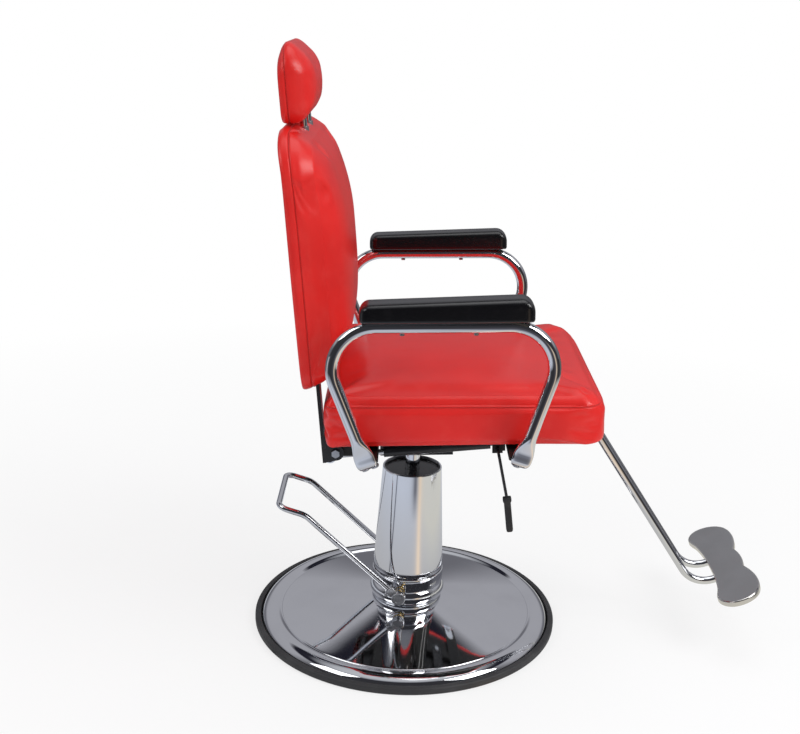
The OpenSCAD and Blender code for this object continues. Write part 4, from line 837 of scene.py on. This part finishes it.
def plate_line(count):
    """Closed outline of the footplate in its plane, forward positive: round ends, two front lobes
    with a shallow one between, and a concave rear waist, as one smooth line."""
    half = [(0, 43.6), (17, 42.6), (30, 40.2), (36, 38.9), (43, 40.8), (58, 45.4), (78, 49.2),
            (97, 50), (116, 48), (134, 41.5), (147, 30.5), (155, 15), (157, 0), (154.5, -14),
            (147, -25.5), (136, -33.5), (123, -37), (111, -35.2), (92, -29.6), (70, -26),
            (45, -23.4), (20, -22.3)]
    right = np.array(half)
    left = right[::-1] * [-1, 1]
    knots = np.vstack([right, [(0, -22.1)], left[:-1]])
    return spline(knots, count, closed=True)


def footplate():
    """Footplate: its outline drawn in by an arc at the top and bottom edge, with a flat top and
    underside closed by lines scaled towards the middle line; and how much of each point is rim."""
    line = plate_line(8)
    along = np.roll(line, -1, 0) - np.roll(line, 1, 0)
    inward = unit(np.stack([along[:, 1], -along[:, 0]], 1))
    top, bottom, edge, middle = 11.5, -0.5, 2.6, 8.0
    flat = line + inward * edge

    def drawn(share):
        return np.stack([flat[:, 0], middle + (flat[:, 1] - middle) * share], 1)

    shares = (0.0, 0.35, 0.7, 0.93)
    arc = [(line + inward * edge * (1 - np.cos(a)), edge * (np.sin(a) - 1), a < 1.5)
           for a in np.radians([90, 70, 50, 30, 10, 0])]
    rings = ([(drawn(share), top, False) for share in shares]
             + [(ring, top + drop, rim) for ring, drop, rim in arc]
             + [(ring, bottom - drop, True) for ring, drop, _ in arc[::-1]]
             + [(drawn(share), bottom, True) for share in shares[::-1]])
    points = np.stack([np.stack([p[:, 0], -68 - p[:, 1], np.full(len(p), z)], 1)
                       for p, z, _ in rings])
    values = np.repeat([float(rim) for _, _, rim in rings], len(line))
    return points.reshape(-1, 3), grid_faces(*points.shape[:2]), values


# ---------------------------------------------------------------- release lever

class SALON_OT_release(bpy.types.Operator):
    """Makes the release lever's wire and its flat grip"""
    bl_idname = "salon.release"
    bl_label = "Release lever"

    def execute(self, context):
        path = rounded([(-194, -142, 27), (-222, -142, 27), (-222, -158, -60)], [0, 9, 0], 10)
        put("release_wire", [placed(sweep(path, (0, 1, 0.05), (2.6, 2.6), around=20), on_seat)],
            "release", "black_powder_coat", "black_steel", "release_rod", sharp=50)

        def on_grip(points):
            return on_seat(turned(points, -5.4) + [-222, -158, -60])

        z = np.array([5, 4.6, 2, -2, -4.5, -6, -20, -40, -56, -60, -61.6, -62])
        wide = np.array([5.6, 7, 7.6, 7.6, 7.0, 6, 6, 6, 6, 5.4, 4, 2.4])
        thick = np.array([3.4, 4.2, 4.6, 4.6, 4.0, 3.4, 3.3, 3.3, 3.3, 2.9, 2.0, 1.0])
        line = np.stack([0 * z, 0 * z, z], 1)
        grip = sweep(line, (0, 1, 0), np.stack([wide, thick], 1), 4.5, around=40)
        put("release_handle", [placed(grip, on_grip)], "release", "black_plastic",
            "black_plastic", "release_grip", sharp=50)
        return {"FINISHED"}


# ---------------------------------------------------------------- cushions

def plan(p, half_w, half_l, corners, base):
    """Rounded rectangle at the perimeter places p, 0 to 4 from the (+, +) corner's middle round to
    the left. Each of its four sides is half an arc, a straight and half an arc; their shares of
    the side are those of the base shape, so that smaller outlines keep the same places."""
    p = np.asarray(p, float) % 4
    q = np.minimum(np.floor(p), 3).astype(int)
    t = p - q
    sx, sy = np.array([1, -1, -1, 1]), np.array([1, 1, -1, -1])
    w0, l0, c0 = base
    quarter = np.pi / 4 * np.asarray(c0, float)
    straight = np.array([2 * w0, 2 * l0, 2 * w0, 2 * l0]) - c0 - np.roll(c0, -1)
    whole = quarter + straight + np.roll(quarter, -1)
    first, last = (quarter / whole)[q], (np.roll(quarter, -1) / whole)[q]
    c = np.asarray(corners, float)
    centre = np.stack([sx * (half_w - c), sy * (half_l - c)], 1)
    n = (q + 1) % 4
    angle = np.radians(45 + 90 * q)

    def spoke(i, a):
        return centre[i] + c[i][:, None] * np.stack([np.cos(a), np.sin(a)], 1)

    a1 = angle + np.radians(45) * np.clip(t / first, 0, 1)
    a3 = angle + np.radians(45) + np.radians(45) * np.clip((t - 1 + last) / last, 0, 1)
    m = np.clip((t - first) / (1 - first - last), 0, 1)[:, None]
    turned_to = angle + np.radians(45)
    middle = spoke(q, turned_to) * (1 - m) + spoke(n, turned_to) * m
    return np.where((t < first)[:, None], spoke(q, a1),
                    np.where((t > 1 - last)[:, None], spoke(n, a3), middle))


def square_places(side):
    """Places of a square grid on the rounded rectangle: ring r = max(|a|, |b|), and the place
    round the perimeter of the ring's point (a / r, b / r)."""
    line = np.linspace(-1, 1, side + 1)
    a, b = np.meshgrid(line, line, indexing="ij")
    r = np.maximum(np.maximum(np.abs(a), np.abs(b)), 1e-9)
    u, v = a / r, b / r
    p = np.where(v >= 1 - 1e-9, (1 - u) / 2, np.where(u <= -1 + 1e-9, 1 + (1 - v) / 2,
        np.where(v <= -1 + 1e-9, 2 + (1 + u) / 2, 3 + (1 + v) / 2)))
    return p.ravel(), np.maximum(np.abs(a), np.abs(b)).ravel()


FINE = 6            # rings of a cushion from one level of its section to the next


def cushion(shape, side):
    """Closed cushion: two square grids, face and underside, joined by rings that run through the
    shape's section. Gives the parts, each point's distance from the seam, up the section, and
    the rings."""
    half_w, half_l, corners = base = shape["w"], shape["l"], shape["c"]

    def outline(places, inset):
        return plan(places, half_w - inset, half_l - inset,
                    np.maximum(corners - inset, shape["least"]), base)

    levels = spline(shape["levels"], FINE)
    places = np.arange(4 * side) / side
    rings = np.stack([shape["wall"](outline(places, row[0]), row) for row in levels])
    step = np.linalg.norm(np.diff(rings, axis=0), axis=2)
    run = np.vstack([np.zeros(len(places)), np.cumsum(step, axis=0)])
    seam = run - run[shape["seam"] * FINE]
    parts, values = [(rings.reshape(-1, 3), grid_faces(*rings.shape[:2]))], [seam.ravel()]
    p, r = square_places(side)
    for end, face in ((0, "under"), (-1, "face")):
        inset = levels[end][0]
        edge = outline(p, inset)
        xy = edge * r[:, None]
        size = np.array([half_w - inset, half_l - inset])
        high = pillow(xy / size, shape["power"]) - pillow(edge / size, shape["power"]) * r**6
        parts.append((shape[face](xy, levels[end], high),
                      grid_faces(side + 1, side + 1, closed_columns=False)))
        values.append(np.full(len(p), seam[end].mean()) + np.sign(seam[end].mean()) * (1 - r) * 100)
    return parts, np.concatenate(values), rings


def pillow(uv, power):
    """(1 - |u|^n) (1 - |v|^n): one in the middle of a cushion, nothing along its sides."""
    return np.prod(1 - np.minimum(1, np.abs(uv)) ** power, axis=-1)


SEAT_FRONT, SEAT_LOW = 329.0, 41.0
SEAT = (242.0, (SEAT_FRONT + 151) / 2, (SEAT_FRONT - 151) / 2)    # half width, half length, middle


def seam_height(s):
    """Height of the seat's top seam, falling to the front."""
    return 116 - 5 * (s + 151) / (SEAT_FRONT + 151)


def seat_shape(k):
    """Section of the seat cushion: [inset, share of the way from the bottom to the seam, height
    over that], and its crowned face, 29 over the seam, less the slack k that the foam takes up."""
    half_w, half_l, mid = SEAT

    def leaned(x, s, z):
        lean = 0.3 * np.clip(z - 95, 0, None) * (np.clip(s - 230, 0, None) / 98) ** 2
        return np.stack([x, lean - s, z], 1)

    def wall(xy, row):
        s = mid - xy[:, 1]
        z = SEAT_LOW + (seam_height(s) - SEAT_LOW) * row[1] + row[2]
        return leaned(xy[:, 0], s, z)

    def face(xy, row, high):
        s = mid - xy[:, 1]
        return leaned(xy[:, 0], s, seam_height(s) + row[2] + (8.5 - 3 * k) * high)

    def under(xy, row, high):
        return np.stack([xy[:, 0], xy[:, 1] - mid, SEAT_LOW + 9 * high], 1)

    levels = [[8, 0, 0], [3.5, 0.03, 0.3], [1.2 + k, 0.13, 0], [0.3 + 2 * k, 0.3, 0],
              [2.5 * k, 0.52, 0], [0.6 + 2 * k, 0.76, 0], [2.0 + k, 0.92, 0], [4.4, 1, 0.2],
              [3.2, 1, 4], [4.4, 1, 9.5], [8, 1, 15], [14, 1, 19.8]]
    return dict(w=half_w, l=half_l, c=np.array([16.0, 16, 48, 48]), least=8, levels=levels,
                seam=7, power=2.6, wall=wall, face=face, under=under)


BACK_H, HEAD_H = 431.5, 131.5
HEAD_MID = BACK_H + 1.5 + HEAD_H / 2


def back_shape(k):
    """Section of the back cushion: [inset, depth from the rear as a share], its front bulging
    forward, less towards the top, its side seam curving back as it rises."""

    def at(xy, share):
        w = BACK_H / 2 + xy[:, 1]
        depth = 93 * (1 - 0.2 * (np.clip(w / BACK_H - 0.6, 0, None) / 0.4) ** 1.6)
        lift = 22 * np.clip(1 - w / (0.2 * BACK_H), 0, 1) ** 1.8 * share
        drop = 20 * (np.clip(w / BACK_H - 0.84, 0, None) / 0.16) ** 1.5 * share**2
        puff = 5 * np.exp(-((w - 415) / 40) ** 2) * np.clip(1 - share / 0.3, 0, 1)
        return np.stack([xy[:, 0], 27 + puff - depth * share, w + lift - drop], 1)

    def wall(xy, row):
        return at(xy, row[1])

    def face(xy, row, high):
        return at(xy, row[1] + (1 - row[1] - 0.04 * k) * high)

    def under(xy, row, high):
        return at(xy, 0 * high)

    levels = [[7, 0], [2.5, 0.012], [0.5, 0.06], [0.4 * k, 0.12], [0.9, 0.165], [2.6, 0.19],
              [0.9, 0.215], [0.6 + k, 0.28], [2 + k, 0.37], [6 + k, 0.48], [14, 0.62]]
    return dict(w=217.0, l=BACK_H / 2, c=np.array([80.0, 80, 34, 34]), least=12, levels=levels,
                seam=5, power=np.array([4.2, 3.0]), wall=wall, face=face, under=under)


def head_shape(k):
    """Section of the headrest, a D seen from its side: [inset of the sides, forward distance,
    inset of the top, inset of the bottom]; flat rear, round front, side seam."""
    half_l = HEAD_H / 2

    def wall(xy, row):
        squeeze = 1 - (row[2] + row[3] - 2 * row[0]) / (2 * (half_l - row[0]))
        v = xy[:, 1] * squeeze + (row[3] - row[2]) / 2
        return np.stack([xy[:, 0], np.full(len(xy), -row[1]), HEAD_MID + v], 1)

    def face(xy, row, high):
        return wall(xy, row) - [0, 1, 0] * high[:, None] * 3.6

    def under(xy, row, high):
        return wall(xy, row)

    levels = [[9, -30, 30, 7], [4, -28.4, 24, 3], [1.2, -23.5, 12, 1], [0.8, -20, 6, 0.6],
              [2.2, -17.5, 3.6, 2], [0.6, -15, 1, 0.6], [k, -9, 0.5, k],
              [2.5 + k, 0, 5 + k, 2.2 + k], [8 + k, 10, 15 + k, 9 + k],
              [17 + k, 18, 24 + k, 20 + k], [30, 24, 36, 32], [44, 27.6, 46, 43]]
    return dict(w=120.0, l=half_l, c=np.array([50.0, 50, 26, 26]), least=12, levels=levels,
                seam=4, power=np.array([3.4, 2.3]), wall=wall, face=face, under=under)


def corners_of(mesh):
    """A mesh's points in metres."""
    points = np.empty(3 * len(mesh.vertices), np.float32)
    mesh.vertices.foreach_get("co", points)
    return points.reshape(-1, 3)


def fill_with_foam(piece, limit, low):
    """Presses the cover out from inside as cloth under pressure, with its seams and what lies
    further below them than low held, for 20 steps, and lets no point move more than the limit."""
    mesh, scene = piece.data, bpy.context.scene
    rest = corners_of(mesh)
    seam = np.empty(len(rest), np.float32)
    mesh.attributes["seam"].data.foreach_get("value", seam)
    held = piece.vertex_groups.new(name="held")
    held.add(np.nonzero((np.abs(seam) < 1.6) | (seam < -low))[0].tolist(), 1.0, "REPLACE")
    cloth = piece.modifiers.new("foam", "CLOTH")
    cloth.settings.use_pressure = True
    cloth.settings.uniform_pressure_force = scene.salon_upholstery.pressure
    cloth.settings.effector_weights.gravity = 0.0
    cloth.settings.vertex_group_mass = "held"
    cloth.settings.quality = 7
    cloth.settings.bending_stiffness = 2.0
    cloth.point_cache.frame_start, cloth.point_cache.frame_end = 1, 20
    for step in range(1, 21):
        scene.frame_set(step)
    move = corners_of(piece.evaluated_get(bpy.context.evaluated_depsgraph_get()).to_mesh()) - rest
    move *= np.minimum(1, limit / 1000 / np.maximum(np.linalg.norm(move, axis=1, keepdims=True),
                                                    1e-9))
    piece.modifiers.remove(cloth)
    piece.vertex_groups.remove(held)
    scene.frame_set(1)
    mesh.vertices.foreach_set("co", (rest + move).ravel())
    mesh.update()


def stitches(line, pitch, long):
    """Row of stitches along a closed line: small ellipsoids at every pitch, their long half axis
    along the line."""
    closed = np.vstack([line, line[:1]])
    run = run_of(closed)
    count = int(run[-1] / pitch)
    at = (np.arange(count) + 0.5) * run[-1] / count
    centre = read_at(closed, run, at)
    t = unit(read_at(closed, run, (at + 1) % run[-1]) - centre)
    b = unit(np.cross(t, [0.3, 0.2, 0.9]))
    n = np.cross(b, t)
    u, v = np.meshgrid(np.linspace(0, np.pi, 6), np.linspace(0, 2 * np.pi, 8, endpoint=False),
                       indexing="ij")
    thick = 0.42
    ball = np.stack([long * np.cos(u), thick * np.sin(u) * np.cos(v),
                     thick * np.sin(u) * np.sin(v)], -1).reshape(-1, 3)
    points = (centre[:, None] + ball[None, :, :1] * t[:, None] + ball[None, :, 1:2] * n[:, None]
              + ball[None, :, 2:] * b[:, None])
    faces = grid_faces(6, 8) + len(ball) * np.arange(count)[:, None, None]
    return points.reshape(-1, 3), faces.reshape(-1, 4)


def upholster(name, shape_of, place, body, node, limit=5.0, low=30, row_at=2, side=64):
    """A cushion pressed out by its foam and rounded, and the stitches on the ring row_at above
    its seam. The foam moves no point more than the limit, and none over low under the seam."""
    pitch = bpy.context.scene.salon_upholstery.stitch
    shape = shape_of(1.0)
    parts, seam, rings = cushion(shape, side)
    piece = put(name, [placed(part, place) for part in parts], body, "red_vinyl_seamed",
                "red_vinyl", node, values=[("seam", seam)], sharp=180)
    fill_with_foam(piece, limit, low)
    subdivide(piece)
    row = stitches(rings[shape["seam"] * FINE + row_at], pitch, 0.36 * pitch)
    put(name + "_stitches", [placed(row, place)], body, "red_thread", "red_vinyl", sharp=180)


class SALON_OT_seat_cushion(bpy.types.Operator):
    """Makes the boxed seat cushion with its top seam"""
    bl_idname = "salon.seat_cushion"
    bl_label = "Seat cushion"

    def execute(self, context):
        upholster("seat_pad", seat_shape, on_seat, "seat", "seat_cushion", low=90, row_at=1)
        return {"FINISHED"}


class SALON_OT_back_cushion(bpy.types.Operator):
    """Makes the back cushion with its side seam, and the padded panel behind it"""
    bl_idname = "salon.back_cushion"
    bl_label = "Back"

    def execute(self, context):
        upholster("back_pad", back_shape, on_back, "back", "back_cushion")

        def wall(xy, row, high=0):
            bulge = (6.5 * high if row[1] > 20 else 0) + np.full(len(xy), row[1])
            return np.stack([xy[:, 0], bulge, BACK_H / 2 + xy[:, 1]], 1)

        shape = dict(w=202.5, l=BACK_H / 2 - 16.5, c=np.array([66.0, 66, 20, 20]), least=12,
                     levels=[[1, 13], [0.3, 15], [0, 20], [0.6, 24], [3.0, 26.6], [8, 27.8]],
                     seam=2, power=2.4, wall=wall, face=wall, under=wall)
        parts = cushion(shape, 48)[0]
        panel = put("back_rear_panel", [placed(part, on_back) for part in parts], "back",
                    "red_vinyl_plain", "red_vinyl", "back_panel", sharp=180)
        subdivide(panel)
        return {"FINISHED"}


class SALON_OT_headrest(bpy.types.Operator):
    """Makes the headrest cushion with its side seam"""
    bl_idname = "salon.headrest"
    bl_label = "Headrest"

    def execute(self, context):
        upholster("head_pad", head_shape, on_back, "headrest", "headrest_cushion", limit=3.0,
                  side=40)
        return {"FINISHED"}


# ---------------------------------------------------------------- the frame's own nodes

NODE_FINISHES = {
    "weight_primer": ["base_plate"],
    "blackened_iron": ["pump_housing", "pump_cylinder", "piston_head"],
    "turned_bronze": ["shaft_bushes"],
    "zinc_plate": ["hinge_pins", "housing_bolts", "gland_nut", "pump_plunger", "pedal_shaft",
                   "pump_cam", "mount_bolts", "pad_screws", "footrest_bolts", "spring_pin",
                   "bracket_bolts", "headrest_sleeves"],
    "seal_rubber": ["rod_seal", "piston_seal"],
    "black_powder_coat": ["shroud_cap", "seat_mount", "footrest_clamp", "torque_tube",
                          "back_brackets", "release_shaft", "gas_cylinder"],
    "frame_paint": ["seat_frame"],
    "dust_cover": ["seat_board"],
    "plywood": ["back_board", "headrest_board"],
    "bright_chrome": ["gas_rod", "headrest_posts"],
}


class SALON_OT_frame_finishes(bpy.types.Operator):
    """Gives the frame's own solids their finishes"""
    bl_idname = "salon.frame_finishes"
    bl_label = "Frame finishes"

    def execute(self, context):
        for look, names in NODE_FINISHES.items():
            for name in names:
                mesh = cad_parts[name].data
                mesh.materials.clear()
                mesh.materials.append(finish(look))
        return {"FINISHED"}


# ---------------------------------------------------------------- stage

def build_floor(stage):
    """White floor: to the camera partly plain white, wholly so far out, so that the chair's
    shadow stays soft. Mirrors see a bluish pool of light round the chair, yellowish on the -Y
    side, that is dark from 1.8 m out. Humps of the angle round the base cross it: a warm beam,
    a pale one where the pool has ended, a dark wedge, and a dark line."""
    size = 30.0
    mesh = bpy.data.meshes.new("floor")
    mesh.from_pydata([(-size, -size, 0), (size, -size, 0), (size, size, 0), (-size, size, 0)], [],
                     [(0, 1, 2, 3)])
    floor = bpy.data.objects.new("floor", mesh)
    bpy.context.scene.collection.objects.link(floor)
    p = Paint("floor_white", Roughness=0.9, Specular_IOR_Level=0.1)
    p.feed(Base_Color=p.blend(p.noise(0.8, 2.0), rgba((0.93, 0.93, 0.94)),
                              rgba((0.95, 0.95, 0.96))))
    here = p.node("ShaderNodeTexCoord", output=3)
    x, y = (p.node("ShaderNodeSeparateXYZ", None, {0: here}, output=axis) for axis in (0, 1))
    far = (x ** 2.0 + y ** 2.0) ** 0.5
    angle = (0.0 - y).maths("ARCTAN2", 0.0 - y, 0.0 - x) * 57.296
    ends = far.span(1.15, 1.8) * x.span(0.5, -0.5, 0.85, 1.0)
    pool = p.blend(far.span(0.3, 1.0), rgba((0.50, 0.50, 0.51)), rgba((0.60, 0.64, 0.73)))
    for share, colour in (
            (y.span(-0.25, -0.6) * 0.7, (0.74, 0.71, 0.60)),
            (ends, (0.03, 0.03, 0.035)),
            ((angle - 30.0).hump(10.0) * 0.85, (1.0, 0.80, 0.60)),
            ((angle + 80.0).hump(14.0) * 0.6 * ends, (0.9, 0.9, 0.95)),
            ((angle - 13.0).hump(13.0) * far.span(0.72, 0.98) * 0.8, (0.07, 0.07, 0.09)),
            ((angle + 57.0).hump(2.2) * 0.9, (0.03, 0.03, 0.05))):
        pool = p.blend(share, pool, rgba(colour))
    seen = p.node("ShaderNodeBsdfPrincipled", None, {
        "Base Color": rgba((0, 0, 0)), "Specular IOR Level": 0.0, "Emission Strength": 1.0,
        "Emission Color": pool})
    white = p.node("ShaderNodeEmission", None, {"Strength": 1.0})
    result = Signal(p, p.shader.outputs[0])
    for share, other in ((p.ray("Camera") * far.span(0.7, 2.2, stage.floor_white, 1.0), white),
                         (p.ray("Glossy"), seen)):
        result = p.node("ShaderNodeMixShader", None, {0: share, 1: result, 2: other})
    p.fill(p.tree.nodes["Material Output"], {0: result})
    mesh.materials.append(p.material)


def build_world(stage):
    """White to the camera, and an even grey to matt surfaces. Mirrors see a room whose wall is
    dim near the horizon and grey from 17 to 43 degrees up, a black band up to 53 degrees, and a
    grey ceiling; the wall on the -X side is dark."""
    world = bpy.data.worlds.new("room")
    bpy.context.scene.world = world
    p = Nodes(world)
    direction = p.node("ShaderNodeTexCoord", output=0)
    behind, height = (p.node("ShaderNodeSeparateXYZ", None, {0: direction}, output=axis)
                      for axis in (0, 2))
    stops = ((0.0, (0.5, 0.5, 0.54)), (0.50, (0.16, 0.16, 0.18)), (0.58, (0.16, 0.16, 0.18)),
             (0.65, (0.38, 0.38, 0.41)), (0.84, (0.40, 0.40, 0.43)), (0.86, (0.012, 0.012, 0.02)),
             (0.90, (0.02, 0.02, 0.03)), (0.95, (0.50, 0.51, 0.54)), (1.0, (0.60, 0.61, 0.64)))
    room = p.ramp(height.span(-1.0, 1.0), stops)
    room = p.blend(behind.span(0.15, -0.35) * height.span(0.84, 0.72), room,
                   rgba((0.035, 0.035, 0.04)))
    level = stage.room_light
    colour = p.blend(p.ray("Glossy"), rgba((level, level, level * 1.01)), room)
    clear = p.ray("Camera").maths("MAXIMUM", p.ray("Camera"), p.ray("Transmission"))
    p.fill(p.tree.nodes["Background"], {0: p.blend(clear, colour, rgba((1, 1, 1))), 1: 1.0})


def put_at(thing, right, up, forward, place):
    """Puts a lamp or the camera at a place, looking along forward."""
    thing.matrix_world = Matrix([[right[i], up[i], -forward[i], place[i]] for i in range(3)]
                                + [[0, 0, 0, 1]])
    bpy.context.scene.collection.objects.link(thing)


def lamp(name, place, aim, size, power):
    """Square area lamp at a place, turned to its aim."""
    data = bpy.data.lights.new(name, "AREA")
    data.size, data.energy = size, power
    way = unit(np.array(aim, float) - place)
    right = unit(np.cross(way, [0, 0, 1]))
    put_at(bpy.data.objects.new(name, data), right, np.cross(right, way), way, place)


class SALON_OT_stage(bpy.types.Operator):
    """Makes the floor, the room, the lamps and the camera"""
    bl_idname = "salon.stage"
    bl_label = "Stage"

    def execute(self, context):
        stage = context.scene.salon_stage
        build_floor(stage)
        build_world(stage)
        for name, place, aim, size, share in (
                ("key", (-1.5, -2.7, 2.9), (0, 0, 0.4), 2.0, 1.0),
                ("side", (-1.3, 2.6, 2.8), (0, 0, 0.4), 1.8, 0.35),
                ("over", (0.4, -0.6, 4.0), (0, 0, 0), 2.4, 0.3)):
            lamp(name, place, aim, size, stage.key * share)
        camera = bpy.data.objects.new("camera", bpy.data.cameras.new("camera"))
        camera.data.sensor_fit, camera.data.sensor_width = "HORIZONTAL", 36.0
        camera.data.lens = 53.13
        camera.data.shift_x, camera.data.shift_y = -0.1149, 0.0031
        put_at(camera, right=(-0.06804, -0.99566, 0.06345), up=(0.30109, 0.04014, 0.95276),
               forward=(0.95117, -0.08392, -0.29705), place=(-2.0934, 0.0453, 1.1666))
        context.scene.camera = camera
        context.scene.view_settings.view_transform = "Standard"
        return {"FINISHED"}


# ---------------------------------------------------------------- add-on

class SalonUpholstery(bpy.types.PropertyGroup):
    """What a user would change on the cushions"""
    colour: FloatVectorProperty(name="Vinyl", description="Colour of the vinyl", subtype="COLOR",
                                size=3, min=0, max=1, default=(0.74, 0.014, 0.011))
    grain: FloatProperty(name="Grain", description="Size of the vinyl's pebble in millimetres",
                         default=1.1, min=0.4, max=4)
    stitch: FloatProperty(name="Stitch", description="Distance between stitches in millimetres",
                          default=4.4, min=2, max=12)
    pressure: FloatProperty(name="Foam pressure", description="Pressure of the foam on its cover",
                            default=4.0, min=0, max=12)


class SalonMetal(bpy.types.PropertyGroup):
    """What a user would change on the metal"""
    chrome: FloatVectorProperty(name="Chrome", description="Colour of the bright plate",
                                subtype="COLOR", size=3, min=0, max=1, default=(0.80, 0.81, 0.835))
    roughness: FloatProperty(name="Haze", description="Roughness of the bright plate",
                             subtype="FACTOR", default=0.035, min=0, max=1)
    footplate: FloatVectorProperty(name="Footplate", description="Colour of the footplate's top",
                                   subtype="COLOR", size=3, min=0, max=1,
                                   default=(0.50, 0.50, 0.505))


class SalonStage(bpy.types.PropertyGroup):
    """What a user would change on the stage"""
    key: FloatProperty(name="Key lamp", description="Power of the main lamp", unit="POWER",
                       default=70.0, min=0)
    room_light: FloatProperty(name="Room light", description="Level of the even light",
                              default=0.52, min=0, max=2)
    floor_white: FloatProperty(name="Floor white", description="Share of plain white in the floor",
                               subtype="FACTOR", default=0.72, min=0, max=1)


OPERATORS = (SALON_OT_stage, SALON_OT_base, SALON_OT_column, SALON_OT_pedal, SALON_OT_armrests,
             SALON_OT_arm_pads, SALON_OT_footrest, SALON_OT_release, SALON_OT_seat_cushion,
             SALON_OT_back_cushion, SALON_OT_headrest, SALON_OT_frame_finishes)
GROUPS = {"salon_upholstery": SalonUpholstery, "salon_metal": SalonMetal, "salon_stage": SalonStage}


class SALON_PT_panel(bpy.types.Panel):
    """Lists the chair's settings and the operators that make its pieces"""
    bl_idname = "SALON_PT_panel"
    bl_label = "Salon Chair"
    bl_space_type = "VIEW_3D"
    bl_region_type = "UI"
    bl_category = "Salon Chair"

    def draw(self, context):
        for key, group in GROUPS.items():
            box = self.layout.box()
            for name in group.__annotations__:
                box.prop(getattr(context.scene, key), name)
        for operator in OPERATORS:
            self.layout.operator(operator.bl_idname)


def register():
    """Registers the settings, the operators and the panel."""
    for key, group in GROUPS.items():
        bpy.utils.register_class(group)
        setattr(bpy.types.Scene, key, PointerProperty(type=group))
    for operator in OPERATORS:
        bpy.utils.register_class(operator)
    bpy.utils.register_class(SALON_PT_panel)


def unregister():
    """Takes everything that register() added away again."""
    bpy.utils.unregister_class(SALON_PT_panel)
    for operator in reversed(OPERATORS):
        bpy.utils.unregister_class(operator)
    for key, group in GROUPS.items():
        delattr(bpy.types.Scene, key)
        bpy.utils.unregister_class(group)


def main():
    """Registers the add-on and makes the chair piece by piece."""
    register()
    for operator in OPERATORS:
        group, name = operator.bl_idname.split(".")
        getattr(getattr(bpy.ops, group), name)()
    bpy.context.view_layer.update()


if __name__ == "__main__":
    main()
